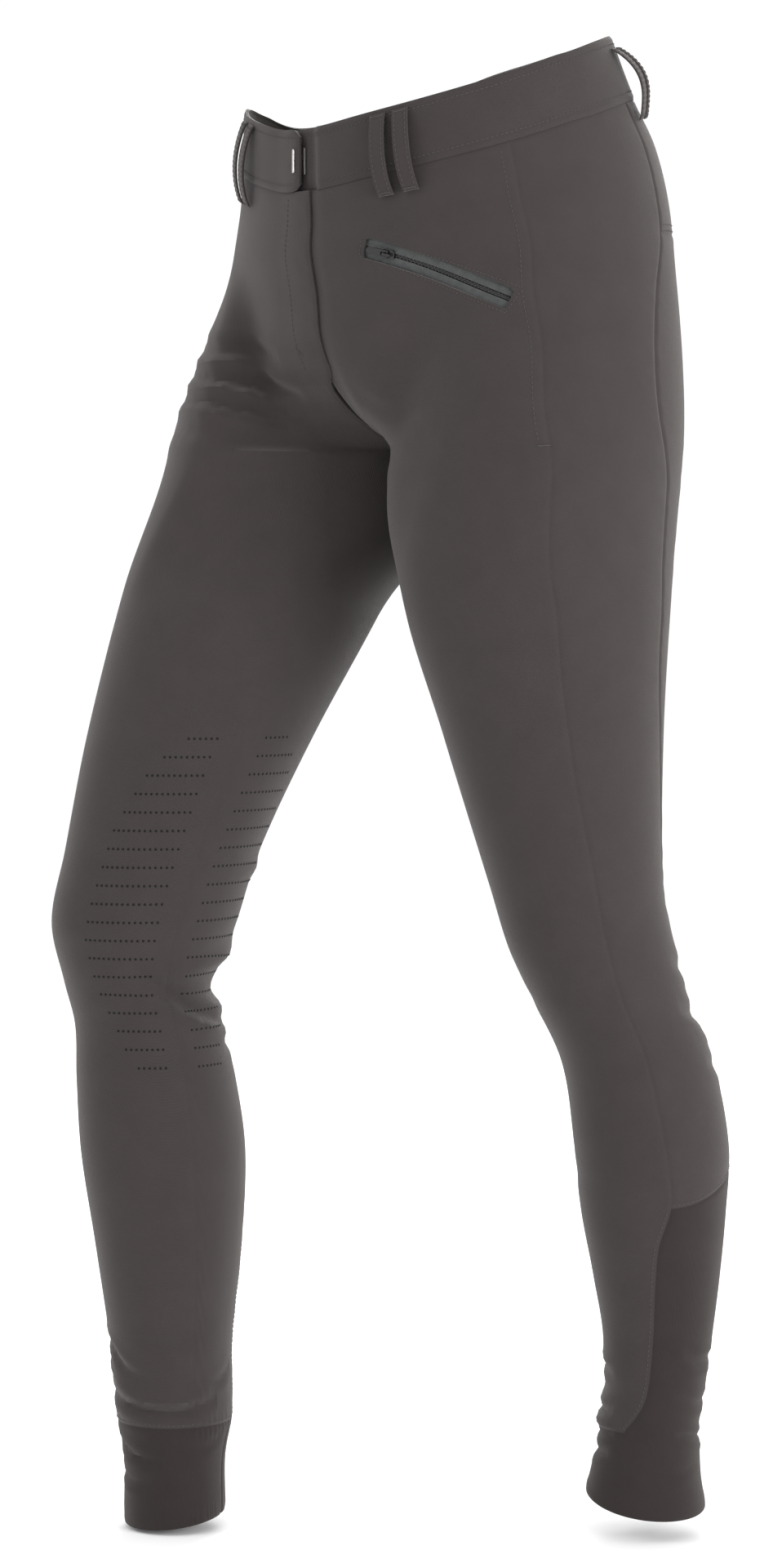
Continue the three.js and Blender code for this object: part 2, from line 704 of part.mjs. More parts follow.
function buildPocket() {
  const halfWindow = POCKET.high / 2;
  const cutter = pocketStrip(0, 1, -halfWindow, halfWindow, 6);
  const front = breeches.getObjectByName('front_left');
  front.geometry = toGeometry(toSolid(front.geometry)
    .subtract(toSolid(wallGeometry(cutter, 14, 0))));
  const under = -CLOTH - TAPE_GAP;
  const reach = halfWindow + TAPE_UNDER;
  const edge = COIL_HALF + COIL_GAP;
  const past = ZIP_PAST;
  const upper = pocketStrip(-past, 1 + past, edge, reach, under);
  add('pocket_tape_upper', wallGeometry(upper, TAPE_WALL, 0), ZIP_TAPE);
  const lower = pocketStrip(-past, 1 + past, -reach, -edge, under);
  add('pocket_tape_lower', wallGeometry(lower, TAPE_WALL, 0), ZIP_TAPE);
  const coil = pocketStrip(-past, 1 + past, -COIL_HALF, COIL_HALF, under + COIL_PROUD);
  add('pocket_coil', wallGeometry(coil, COIL_WALL, 0), COIL);
  buildSlider(under + COIL_PROUD + SEAT_GAP);
}

// The slider's own frame: X along the zip towards the side, Z out of the cloth
function sliderFrame() {
  const place = pocketPlace(SLIDER.along, 0, 0);
  const across = new THREE.Vector3().crossVectors(place.normal, place.ahead).normalize();
  const frame = new THREE.Matrix4().makeBasis(place.ahead, across, place.normal);
  return frame.setPosition(place.point);
}

function block(long, wide, high, x, z) {
  const geometry = new THREE.BoxGeometry(long, wide, high);
  return geometry.translate(x, 0, z + high / 2);
}

function plate(outline, high, z, hole = null) {
  const shape = new THREE.Shape(outline.map(([x, y]) => new THREE.Vector2(x, y)));
  if (hole) shape.holes.push(new THREE.Path(hole.map(([x, y]) => new THREE.Vector2(x, y))));
  const geometry = new THREE.ExtrudeGeometry(shape, { depth: high, bevelEnabled: false });
  return geometry.translate(0, 0, z);
}

function buildSlider(foot) {
  const { long, wide, narrow, thick, bridge } = SLIDER;
  const x = long / 2;
  const body = plate([[-x, -narrow / 2], [-x + 2, -wide / 2], [x - 2, -wide / 2],
    [x, -narrow / 2], [x, narrow / 2], [x - 2, wide / 2], [-x + 2, wide / 2],
    [-x, narrow / 2]], thick, foot);
  const top = foot + thick;
  const legHigh = bridge.high - bridge.wall;
  const post = (side) => toSolid(block(bridge.wall, bridge.wide, legHigh + 0.2,
    side * (bridge.long - bridge.wall) / 2, top - 0.1));
  const beam = toSolid(block(bridge.long, bridge.wide, bridge.wall, 0, top + legHigh));
  const solid = toSolid(body).add(post(-1)).add(post(1)).add(beam);
  const frame = sliderFrame();
  add('pocket_slider', toGeometry(solid).applyMatrix4(frame), BLACK_METAL);
  const axisHigh = top + legHigh / 2;
  const bar = PULL.bar / 2;
  const eye = PULL.eye;
  const end = PULL.long;
  const half = PULL.wide / 2;
  const tab = plate([[bar, half], [-end + 2, half], [-end, half - 2], [-end, 2 - half],
    [-end + 2, -half], [bar, -half]], PULL.bar, axisHigh - bar,
  [[-bar, PULL.hole / 2], [-bar - eye, PULL.hole / 2], [-bar - eye, -PULL.hole / 2],
    [-bar, -PULL.hole / 2]]);
  add('pocket_pull', tab.applyMatrix4(frame), BLACK_METAL);
  const pivot = new THREE.Vector3(0, 0, axisHigh).applyMatrix4(frame);
  const axis = new THREE.Vector3(0, 1, 0).transformDirection(frame);
  breeches.userData.pull = { pivot: pivot.toArray(), axis: axis.toArray() };
}

// Trouser clasp: a bar that stands on the left end in the gap, a hook plate on the back of
// the tab and a slim plate on its face
function claspPiece(half, { share, wide, tall, thick }, out) {
  const point = bareSurface(half, share, BAND_MIDDLE);
  const normal = slopeNormal(bareSurface, half, share, BAND_MIDDLE);
  const sideways = bareSurface(half, share + 0.01, BAND_MIDDLE).sub(point).normalize();
  const upright = new THREE.Vector3().crossVectors(normal, sideways);
  const frame = new THREE.Matrix4().makeBasis(sideways, upright, normal);
  frame.setPosition(point);
  const edge = 0.3;
  const shape = new THREE.Shape();
  shape.moveTo(-wide / 2, -tall / 2 + edge);
  shape.lineTo(-wide / 2 + edge, -tall / 2);
  shape.lineTo(wide / 2 - edge, -tall / 2);
  shape.lineTo(wide / 2, -tall / 2 + edge);
  shape.lineTo(wide / 2, tall / 2 - edge);
  shape.lineTo(wide / 2 - edge, tall / 2);
  shape.lineTo(-wide / 2 + edge, tall / 2);
  shape.lineTo(-wide / 2, tall / 2 - edge);
  const geometry = new THREE.ExtrudeGeometry(shape, { depth: thick, bevelEnabled: false });
  return facingOut(mergedPlain(geometry.translate(0, 0, out).applyMatrix4(frame)));
}

function mergedPlain(geometry) {
  geometry.deleteAttribute('normal');
  geometry.deleteAttribute('uv');
  return mergeVertices(geometry, 1e-4);
}

function buildClasp() {
  const { bar, hook, face } = CLASP;
  const underlap = BAND_PROUD - UNDERLAP_IN;
  const behindTab = tabOut(hook.share) - BAND_WALL - hook.gap - hook.thick;
  add('clasp_bar', claspPiece(HALVES.left, bar, underlap + SEAT_GAP), BRIGHT_METAL);
  add('clasp_hook', claspPiece(HALVES.right, hook, behindTab), BRIGHT_METAL);
  add('clasp_face', claspPiece(HALVES.right, face, tabOut(face.share) + SEAT_GAP), BRIGHT_METAL);
}

buildWaistband();
for (const half of Object.values(HALVES)) buildPanels(half);
buildLoops();
buildPocket();
buildClasp();

export default breeches;
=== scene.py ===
import math

import bmesh
import bpy
import numpy as np
from mathutils import Matrix, Vector
from mathutils.bvhtree import BVHTree


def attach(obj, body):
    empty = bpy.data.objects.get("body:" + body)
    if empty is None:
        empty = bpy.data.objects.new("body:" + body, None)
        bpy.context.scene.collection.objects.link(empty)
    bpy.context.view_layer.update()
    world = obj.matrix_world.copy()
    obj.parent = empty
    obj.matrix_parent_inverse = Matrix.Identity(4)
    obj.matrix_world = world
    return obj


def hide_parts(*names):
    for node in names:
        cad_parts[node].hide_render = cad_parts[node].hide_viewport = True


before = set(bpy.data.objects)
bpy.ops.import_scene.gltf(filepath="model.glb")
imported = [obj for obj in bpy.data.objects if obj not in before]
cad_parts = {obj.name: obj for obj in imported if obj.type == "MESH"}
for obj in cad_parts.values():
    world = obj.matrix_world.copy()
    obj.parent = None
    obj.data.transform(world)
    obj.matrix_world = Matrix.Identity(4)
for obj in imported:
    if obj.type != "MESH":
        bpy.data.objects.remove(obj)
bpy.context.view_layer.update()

MM = 0.001

# The worn surface in millimetres, by the sections of the part's own source. The hems, the end
# of the fly, the insert's lower corner and the right back of the waist are nearer the photograph.
CLOTH = 1.6
BAND_WALL = 2.4
BAND_PROUD = 0.8
SEAM_OVERLAP = 0.03
BAND_TOP, BAND_BOTTOM = 17.0, -23.0
BAND_MIDDLE = (BAND_TOP + BAND_BOTTOM) / 2
CROTCH_Z, CROTCH_Y = -231.0, 10.0
HEM_Z = -933.0
ANKLE_BAND = 58.0
EASE_FROM = -70.0
FLY_END_Z = -196.0
LAP_SHARE = 0.013
RIGHT_EDGE_OUT, LEFT_EDGE_IN = 1.3, 1.2
TAB_END, TAB_ROUND, TAB_LIFT = 0.0015, 0.016, 2.0
UNDERLAP_END, UNDERLAP_IN = -0.055, 4.0
STEP_FROM, STEP_TO = 0.018, 0.027
POCKET = {"from": (0.103, -86.5), "to": (0.329, -138.5), "half": 6.75, "bow": 3.0}
INSERT_CLIMB = 22.0

# height, half width, depth to the front, depth to the back, share of the rise, shift back
TORSO = np.array([
    (23, 131, 101, 104, 1, -6.5),
    (-23, 141, 114, 110, 1, 6.5),
    (-50, 149, 120, 121, 0.83, 13),
    (-84, 158, 126, 123, 0.5, 18),
    (-127, 165, 121, 122, 0.17, 18),
    (-170, 169, 118, 121, 0, 17),
    (-235, 170, 112, 118, 0, 14),
], float)

# share round, rise of the top line on the left half, and on the right half
RISE = np.array([
    (1.0, 18, 18),
    (0.9, 18.5, 11.5),
    (0.8, 20, 0.5),
    (0.7, 18.5, -9),
    (0.6, 11, -17),
    (0.5, -0.4, -24),
    (0.4, -13, -19),
    (0.3, -23.7, -18),
    (0.2, -32.5, -27),
    (0.1, -39.4, -37),
    (0.04, -42.8, -42.6),
    (0, -43.3, -43.3),
], float)

# height, centre x, centre y, half depth, half width, turn of the leg's front
RIGHT_LEG = np.array([
    (-125, -81, -8, 120, 86, 0),
    (-231, -85, -36, 98, 83, 0),
    (-320, -98, -67, 91, 76, 20),
    (-419, -113, -105, 76, 66, 25),
    (-495, -121, -131, 65, 58, 25),
    (-541, -126, -142, 62, 54, 25),
    (-581, -128, -145, 50, 50, 25),
    (-610, -126, -139, 49, 49, 25),
    (-645, -122, -136, 53, 51, 25),
    (-695, -118, -133, 55, 51, 25),
    (-757, -115, -131, 49, 46, 25),
    (-823, -114, -130, 41, 39, 25),
    (-870, -113, -128, 39, 36, 25),
    (-900, -113, -128, 34, 33, 25),
    (-933, -113, -128, 34, 33, 25),
], float)
LEFT_LEG = np.array([
    (-125, 91, 22, 98, 84, 0),
    (-231, 92, 17, 94, 86, 2),
    (-320, 92, 12, 89, 77, 20),
    (-416, 92, 27, 72, 65, 25),
    (-515, 94, 46, 57, 54, 25),
    (-555, 98, 56, 55, 51, 25),
    (-585, 103, 66, 52, 49, 25),
    (-631, 112, 84, 50, 50, 25),
    (-686, 115, 94, 51, 51, 25),
    (-730, 114, 97, 48, 47, 25),
    (-774, 113, 101, 42, 41, 25),
    (-818, 112, 103, 36, 35, 25),
    (-873, 106, 102, 34, 34, 25),
    (-907, 103, 101, 37, 35, 25),
    (-933, 100, 101, 43.5, 40.5, 25),
], float)

# height, share round of the outseam, share round of the back seam
SEAMS = np.array([
    (23, 0.362, 0.64),
    (-23, 0.360, 0.632),
    (-65, 0.350, 0.625),
    (-98, 0.353, 0.605),
    (-130, 0.358, 0.562),
    (-169, 0.379, 0.539),
    (-212, 0.392, 0.543),
    (-259, 0.423, 0.589),
    (-329, 0.486, 0.655),
    (-365, 0.500, 0.67),
    (-438, 0.508, 0.70),
    (-518, 0.517, 0.72),
    (-593, 0.507, 0.735),
    (-645, 0.500, 0.75),
    (-697, 0.510, 0.775),
    (-722, 0.515, 0.785),
    (-752, 0.483, 0.79),
    (-813, 0.463, 0.81),
    (-845, 0.457, 0.82),
    (-857, 0.445, 0.82),
    (-866, 0.422, 0.82),
    (-875, 0.395, 0.82),
    (-933, 0.395, 0.83),
], float)

# The largest folds: share round, height, length, width, lean, height of the fold
FOLDS = {
    "right": [
        (0.80, -505, 30, 6, 0.1, 2.2),
        (0.80, -560, 36, 8, 0.15, 4.0),
        (0.80, -585, 40, 7, 0.2, -3.5),
        (0.80, -601, 34, 7, 0.15, 3.0),
        (0.55, -857, 46, 7, 0.05, -2.2),
    ],
    "left": [
        (0.80, -597, 34, 8, 0.1, -2.0),
        (0.25, -847, 26, 8, 0.1, -2.2),
        (0.25, -890, 22, 6, 0.1, -1.8),
        (0.78, -875, 24, 8, 0.1, -1.8),
    ],
}

SIGN = {"left": 1, "right": -1}
LEG = {"left": LEFT_LEG, "right": RIGHT_LEG}
HEM = {"left": (-923, 10, 0.58), "right": (-939.5, 5, 0.2)}


def smooth(a, b, x):
    s = np.clip((x - a) / (b - a), 0, 1)
    return s * s * (3 - 2 * s)


def mix(a, b, s):
    return a + (b - a) * s


def between(a, b, slope_a, slope_b, s):
    """The place at share s of a smooth curve from a to b with these slopes at its ends."""
    s2, s3 = s * s, s * s * s
    return ((2 * s3 - 3 * s2 + 1) * a + (s3 - 2 * s2 + s) * slope_a
            + (-2 * s3 + 3 * s2) * b + (s3 - s2) * slope_b)


def read(table, k, z):
    """Column k of a table whose first column falls, by a smooth curve through its rows."""
    at, value = table[:, 0], table[:, k]
    n = len(at)
    up, down = np.maximum(np.arange(n) - 1, 0), np.minimum(np.arange(n) + 1, n - 1)
    slope = (value[down] - value[up]) / (at[down] - at[up])
    z = np.asarray(z, float)
    i = np.clip(np.searchsorted(-at, -z, side="right") - 1, 0, n - 2)
    h = at[i + 1] - at[i]
    s = np.clip((z - at[i]) / h, 0, 1)
    return between(value[i], value[i + 1], h * slope[i], h * slope[i + 1], s)


def fuller(v):
    """A sine or cosine drawn out a little, so that an oval has fuller corners."""
    return np.sign(v) * np.abs(v) ** 0.93


def trunk(half, share, z):
    angle = np.pi * share
    depth = mix(read(TORSO, 2, z), read(TORSO, 3, z), smooth(0.3, 0.7, share))
    x = SIGN[half] * read(TORSO, 1, z) * fuller(np.sin(angle))
    y = -depth * fuller(np.cos(angle))
    rise = read(TORSO, 4, z) * read(RISE, 1 if half == "left" else 2, np.abs(share))
    return np.stack([x, y + read(TORSO, 5, z), z + rise], -1)


def leg(half, share, z):
    table = LEG[half]
    turn = np.radians(read(table, 5, z))
    ahead = np.stack([-np.sin(turn), -np.cos(turn), 0 * turn], -1)
    outward = SIGN[half] * np.stack([np.cos(turn), -np.sin(turn), 0 * turn], -1)
    centre = np.stack([read(table, 1, z), read(table, 2, z), z], -1)
    deep, wide = read(table, 3, z)[..., None], read(table, 4, z)[..., None]
    lag = 10 * smooth(-CROTCH_Z, 400, -z)

    def place(s):
        angle = np.radians(360 * s - 90 - lag)[..., None]
        return centre + ahead * deep * np.cos(angle) + outward * wide * np.sin(angle)

    below = np.maximum(0, CROTCH_Z - z)
    pull = 1 - smooth(0, 110, CROTCH_Z - z)
    anchor = np.stack([SIGN[half] * 0.06 * below, CROTCH_Y + 0 * z, z], -1)
    drawn = pull * smooth(0, 1, np.cos(2 * np.pi * share))
    return place(share) + (anchor - place(0 * share)) * drawn[..., None]


def bare(half, share, z):
    """The worn surface without folds: trunk above, legs below, eased into each other."""
    share, z = np.broadcast_arrays(np.asarray(share, float), np.asarray(z, float))

    def depth(top):
        return np.clip((top - z) / (top - CROTCH_Z), 0, 1)

    q = depth(mix(-145, -110, smooth(0.2, 0.8, share)))
    under = 1 - np.sqrt(1 - q * q)
    ease = smooth(0, 1, depth(EASE_FROM))
    end = smooth(0, 1, np.cos(2 * np.pi * share))
    legward = mix(ease, under, end)[..., None]
    return mix(trunk(half, share, z), leg(half, share, z), legward)


def unit(v):
    return v / np.maximum(np.linalg.norm(v, axis=-1, keepdims=True), 1e-9)


def outward_normal(half, share, z):
    around = bare(half, share + 0.002, z) - bare(half, share - 0.002, z)
    up = bare(half, share, z + 0.5) - bare(half, share, np.maximum(z - 0.5, HEM_Z - 30))
    return unit(np.cross(around, up) * SIGN[half])


def ring_length(half, z):
    deep, wide = read(LEG[half], 3, z), read(LEG[half], 4, z)
    return 2 * np.pi * np.sqrt((deep ** 2 + wide ** 2) / 2)


def fold_height(half, share, z):
    height = np.zeros_like(share)
    ring = ring_length(half, z)
    for round_at, middle, long, wide, lean, high in FOLDS[half]:
        along = (share - round_at) * ring
        across = z - middle + lean * along
        height += high * np.exp(-(along / long) ** 2) * np.exp(-(across / wide) ** 2)
    return height


def fly_step(z):
    return smooth(FLY_END_Z - 25, FLY_END_Z, z)


def lap_out(half, share, z):
    if half == "right":
        return RIGHT_EDGE_OUT * (1 - smooth(0, 0.05, share)) * fly_step(z)
    return -LEFT_EDGE_IN * (1 - smooth(0.014, 0.035, share)) * fly_step(z)


def on_cloth(half, share, z, out=0.0):
    """Points on the cloth's outer face and their directions out."""
    share, z = np.broadcast_arrays(np.asarray(share, float), np.asarray(z, float))
    normal = outward_normal(half, share, z)
    lift = fold_height(half, share, z) + lap_out(half, share, z) + out
    return bare(half, share, z) + normal * lift[..., None], normal


# The grid of each half: columns 0 to 22 from the front centre to the back centre, with the
# outseam at 9 and the back seam at 14, and rows from the waistband seam down to the hem
OUTSEAM, BACK_SEAM, BACK = 9, 14, 22
COLUMN_STEP, ROW_STEP = 3.4, 3.5
ROW_ENDS = [BAND_BOTTOM, -98.0, -722.0, HEM_Z + ANKLE_BAND, HEM_Z]
YOKE_ROW, CALF_ROW, SHIN_ROW = 1, 2, 3


def fine(low, high, step, ends=(0.0, 0.7, 1.5, 2.6, 4.2)):
    """Lines from low to high about a step apart, closer beside both ends."""
    ends = np.array(ends)
    middle = np.linspace(low + ends[-1], high - ends[-1], max(3, int((high - low) / step)))
    return np.concatenate([low + ends[:-1], middle, high - ends[:-1][::-1]])


def column_lines():
    """Column numbers, with the gaps between them given in millimetres at the hip."""
    parts = []
    for low, high, wide in ((0, OUTSEAM, 190), (OUTSEAM, BACK_SEAM, 110), (BACK_SEAM, BACK, 190)):
        parts.append(low + (high - low) * fine(0, wide, COLUMN_STEP) / wide)
    return np.unique(np.concatenate(parts).round(9))


def row_lines():
    """Heights of the rows, and the row number of each piece's edge."""
    heights, edge = [BAND_BOTTOM], [0]
    for top, bottom in zip(ROW_ENDS, ROW_ENDS[1:]):
        heights += list(top - fine(0, top - bottom, ROW_STEP))[1:]
        edge.append(len(heights) - 1)
    return np.array(heights), edge


COLUMNS = column_lines()
ROWS, EDGE_ROW = row_lines()
COL = {c: int(np.argmin(np.abs(COLUMNS - c))) for c in (0, OUTSEAM, BACK_SEAM, BACK)}


def grid_share(half, i, z):
    outseam, back = read(SEAMS, 1, z), read(SEAMS, 2, z)
    run = smooth(FLY_END_Z + 4, FLY_END_Z + 18, z)
    lap = LAP_SHARE * run * np.clip(1 - i / OUTSEAM, 0, 1) ** 4 if half == "right" else 0
    front = outseam * i / OUTSEAM - lap
    side = mix(outseam, back, (i - OUTSEAM) / (BACK_SEAM - OUTSEAM))
    seat = mix(back, 1, (i - BACK_SEAM) / (BACK - BACK_SEAM))
    return np.where(i <= OUTSEAM, front, np.where(i <= BACK_SEAM, side, seat))


def grid_height(half, i, z):
    """The height of a row's point: the calf line climbs to the back, the hem dips."""
    calf, shin = ROW_ENDS[CALF_ROW], ROW_ENDS[SHIN_ROW]
    above = np.minimum(z - calf, 97) / 19.4 + np.maximum(z - calf - 97, 0) / 10.8
    steps_off = np.where(z > calf, above, (calf - z) / 17.0)
    near = np.exp(-(steps_off / 3) ** 2) * (z > shin)
    climb = np.where(i <= BACK_SEAM, smooth(OUTSEAM, BACK_SEAM, i), smooth(BACK, BACK_SEAM, i))
    ankle = np.clip((z - shin) / (HEM_Z - shin), 0, 1)
    level, dip, lowest = HEM[half]
    turn = 2 * np.pi * (grid_share(half, i, HEM_Z + 0 * z) - lowest)
    drop = level - dip * np.cos(turn) - HEM_Z
    return z + INSERT_CLIMB * near * climb + drop * ankle


# Creases. Each is a line of (share round, height) points on one half, the
# half-width and the height of the crease in mm, minus for a trough.
CREASES = {
    "right": [
        # groin and hip: near level troughs from the side of the thigh towards the crotch
        ([(0.34, -158), (0.26, -162), (0.187, -162), (0.078, -169)], 5.5, -3.8),
        ([(0.35, -176), (0.27, -179), (0.19, -184), (0.11, -192), (0.06, -196)], 5.5, -4.6),
        ([(0.36, -192), (0.255, -196), (0.193, -202.5), (0.112, -210)], 5.0, -4.0),
        ([(0.36, -213), (0.245, -217), (0.19, -222), (0.131, -226)], 7.0, -2.6),
        # under the seat
        ([(0.93, -226), (0.84, -246), (0.74, -252), (0.64, -244)], 6.0, -2.4),
        ([(0.92, -248), (0.82, -268), (0.72, -272)], 5.5, -1.6),
        ([(0.90, -286), (0.80, -298), (0.70, -298)], 6.0, -1.0),
        # back of the knee
        ([(0.80, -560), (0.86, -566), (0.95, -571), (1.02, -570)], 4.5, 1.0),
        ([(0.78, -588), (0.86, -587), (0.93, -580), (0.99, -573), (1.05, -565)], 5.0, 2.0),
        ([(0.74, -604), (0.84, -606), (0.89, -602), (0.955, -594.5), (0.99, -586), (1.04, -576),
          (1.08, -566)], 4.8, -3.6),
        ([(0.80, -616), (0.88, -612), (0.95, -604), (1.00, -594)], 4.5, 1.4),
        ([(0.66, -612), (0.76, -620), (0.86, -624)], 4.5, -1.6),
        # front of the knee
        ([(0.10, -560), (0.18, -556), (0.28, -560)], 6.0, -0.7),
        ([(0.08, -588), (0.17, -584), (0.27, -590)], 6.0, -0.6),
        # above the ankle
        ([(0.93, -858), (0.967, -860.5), (1.05, -865), (1.139, -864), (1.278, -857), (1.36, -846)],
         3.4, -3.0),
        ([(0.95, -850), (1.05, -856), (1.15, -855), (1.28, -847)], 3.6, 1.8),
        ([(0.36, -815), (0.282, -823), (0.20, -837), (0.12, -843)], 3.6, -2.6),
        ([(0.38, -835), (0.30, -838), (0.22, -848), (0.14, -853)], 3.2, 1.2),
        ([(0.40, -838), (0.50, -850), (0.62, -858), (0.74, -856)], 3.4, -2.2),
        ([(0.42, -820), (0.52, -828), (0.64, -832)], 3.6, -1.2),
        ([(0.86, -838), (0.93, -846), (1.00, -842)], 3.4, -1.4),
        # cuff
        ([(0.32, -886), (0.267, -892), (0.157, -898), (0.10, -899)], 3.0, -2.2),
        ([(0.36, -906), (0.29, -911), (0.20, -915), (0.13, -914)], 2.8, -1.8),
        ([(0.40, -888), (0.50, -897), (0.62, -894)], 2.8, -1.6),
        ([(0.52, -904), (0.64, -911), (0.74, -906)], 2.8, -1.4),
        ([(0.90, -884), (0.97, -890), (1.04, -888)], 2.8, -1.0),
    ],
    "left": [
        # groin
        ([(0.04, -196), (0.10, -206), (0.18, -208), (0.28, -200)], 6.0, -1.3),
        ([(0.04, -222), (0.10, -232), (0.18, -236), (0.27, -230)], 6.5, -1.0),
        ([(0.035, -214), (0.045, -236), (0.05, -262)], 6.0, -1.5),
        # under the seat
        ([(0.94, -226), (0.84, -244), (0.74, -250), (0.64, -242)], 7.0, -2.2),
        ([(0.92, -250), (0.82, -266), (0.72, -270)], 6.0, -1.4),
        ([(0.88, -292), (0.78, -300), (0.68, -298)], 6.0, -0.8),
        # back of the knee
        ([(0.66, -562), (0.76, -570), (0.86, -578)], 4.5, -1.3),
        ([(0.64, -592), (0.74, -600), (0.84, -606)], 4.5, -2.0),
        ([(0.66, -610), (0.76, -616), (0.86, -618)], 4.0, 1.0),
        ([(0.66, -628), (0.76, -634), (0.86, -634)], 4.5, -1.2),
        # front of the knee and shin
        ([(0.10, -590), (0.20, -586), (0.30, -592)], 6.0, -0.5),
        ([(0.16, -700), (0.26, -706), (0.36, -704)], 6.0, -0.4),
        # ankle and cuff
        ([(0.14, -828), (0.247, -835), (0.33, -838)], 3.6, -2.0),
        ([(0.12, -856), (0.238, -863.6), (0.34, -862)], 3.2, -2.4),
        ([(0.16, -868), (0.25, -871), (0.34, -870)], 3.0, 1.2),
        ([(0.14, -876), (0.25, -880), (0.36, -877)], 2.8, -1.8),
        ([(0.16, -890), (0.24, -893), (0.34, -890)], 2.8, -1.8),
        ([(0.56, -822), (0.648, -830), (0.76, -826)], 3.6, -2.2),
        ([(0.54, -850), (0.66, -858), (0.78, -853)], 3.2, -1.6),
        ([(0.56, -876), (0.697, -882), (0.80, -878)], 3.0, -2.0),
        ([(0.84, -842), (0.94, -852), (1.04, -846)], 3.2, -1.4),
        ([(0.86, -884), (0.96, -892), (1.06, -886)], 2.8, -1.2),
        ([(0.44, -898), (0.54, -904), (0.66, -900)], 2.6, -1.0),
    ],
}


def along_curve(points, count):
    """A smooth line through a few points, at even steps of its parameter."""
    points = np.array(points, float)
    slope = np.gradient(points, axis=0)
    s = np.linspace(0, len(points) - 1, count)
    i = np.clip(s.astype(int), 0, len(points) - 2)
    return between(points[i], points[i + 1], slope[i], slope[i + 1], (s - i)[:, None])


CREASE_STEPS = 36
BANK_HEIGHT, BANK_AT, BANK_WIDTH = 0.32, 1.9, 0.8  # the low banks on both sides of a crease


def crease_height(half, places):
    """How far the listed creases lift the cloth at these places."""
    height = np.zeros(places.shape[:-1])
    for line, wide, high in CREASES[half]:
        curve = along_curve(line, CREASE_STEPS)
        share = curve[:, 0]
        ends = np.sin(np.linspace(0, np.pi, CREASE_STEPS)) ** 0.6
        spine = bare(half, np.where(share > 1, share - 1, share), curve[:, 1])
        low, high_corner = spine.min(0) - 4 * wide, spine.max(0) + 4 * wide
        near = np.all((places > low) & (places < high_corner), axis=-1)
        if not near.any():
            continue
        gap = np.linalg.norm(places[near][:, None, :] - spine[None], axis=-1)
        k = gap.argmin(1)
        d = gap.min(1) / wide
        profile = np.exp(-d * d) - BANK_HEIGHT * np.exp(-((d - BANK_AT) / BANK_WIDTH) ** 2)
        height[near] += high * profile * ends[k]
    return height


def lay_out(half):
    """The half's whole grid: places, directions out and column numbers."""
    i, row = np.meshgrid(COLUMNS, ROWS)
    z = grid_height(half, i, row)
    share = grid_share(half, i, z)
    normal = outward_normal(half, share, z)
    middle = ((i == 0) | (i == BACK)) & (row >= CROTCH_Z)
    normal[middle] = unit(normal[middle] * np.array([0, 1, 1]))
    place = bare(half, share, z)
    calm = smooth(0, 1.2, np.minimum(i, BACK - i)) * (row > CROTCH_Z - 30) + (row <= CROTCH_Z - 30)
    lift = (fold_height(half, share, z) + crease_height(half, place)) * calm
    lap = lap_out(half, share, z) * np.where(middle & (i > 0), 0, 1)
    return {"place": place + normal * (lift + lap)[..., None], "out": normal, "column": i}


GRID = {half: lay_out(half) for half in SIGN}


def flat_map(places, start=0, sign=1):
    """A flat map of rows of places, in mm: round from column start, and down from the top."""
    round_step = np.linalg.norm(np.diff(places, axis=1), axis=-1)
    down_step = np.linalg.norm(np.diff(places, axis=0), axis=-1)
    u = np.pad(np.cumsum(round_step, 1), ((0, 0), (1, 0)))
    v = np.pad(np.cumsum(down_step, 0), ((1, 0), (0, 0)))
    return np.stack([(u - u[:, start, None]) * sign, -v], -1)


MAP = {half: flat_map(GRID[half]["place"], COL[OUTSEAM], SIGN[half]) for half in SIGN}


def select_only(obj=None):
    bpy.ops.object.select_all(action="DESELECT")
    if obj:
        obj.select_set(True)
        bpy.context.view_layer.objects.active = obj


def make_object(name, points, faces, material, uv=None):
    """A mesh from points in mm, with an optional UV place for each point, also in mm."""
    mesh = bpy.data.meshes.new(name)
    points = np.asarray(points).reshape(-1, 3) * MM
    mesh.from_pydata(points.tolist(), [], [list(map(int, f)) for f in faces])
    if uv is not None:
        layer = mesh.uv_layers.new(name="cloth")
        corner = np.empty(len(mesh.loops), int)
        mesh.loops.foreach_get("vertex_index", corner)
        layer.data.foreach_set("uv", uv.reshape(-1, 2)[corner].astype(np.float32).ravel())
    mesh.materials.append(material)
    obj = bpy.data.objects.new(name, mesh)
    bpy.context.collection.objects.link(obj)
    return obj


def smooth_faces(obj, degrees):
    select_only(obj)
    bpy.ops.object.shade_smooth_by_angle(angle=math.radians(degrees))
    obj.select_set(False)


def outward(obj):
    """Turns the faces of a closed mesh outward."""
    work = bmesh.new()
    work.from_mesh(obj.data)
    bmesh.ops.recalc_face_normals(work, faces=work.faces)
    work.to_mesh(obj.data)
    work.free()


def give_wall(obj, wall):
    """An open sheet, its outer face as built, gets its thickness inward."""
    solid = obj.modifiers.new("wall", "SOLIDIFY")
    solid.thickness = wall * MM
    solid.offset = -1
    solid.use_even_offset = False
    select_only(obj)
    bpy.ops.object.modifier_apply(modifier=solid.name)
    smooth_faces(obj, 45)


def open_edges(faces):
    """Edges with one face, each with the corners before and after it."""
    used = {}
    for face in faces:
        n = len(face)
        for k in range(n):
            a, b = face[k], face[(k + 1) % n]
            used[(a, b)] = (face[k - 1], face[(k + 2) % n])
    return [(a, b, *near) for (a, b), near in used.items() if (b, a) not in used]


PUCKER, PUCKER_AT, PUCKER_WIDTH = 0.16, 4.5, 3.2


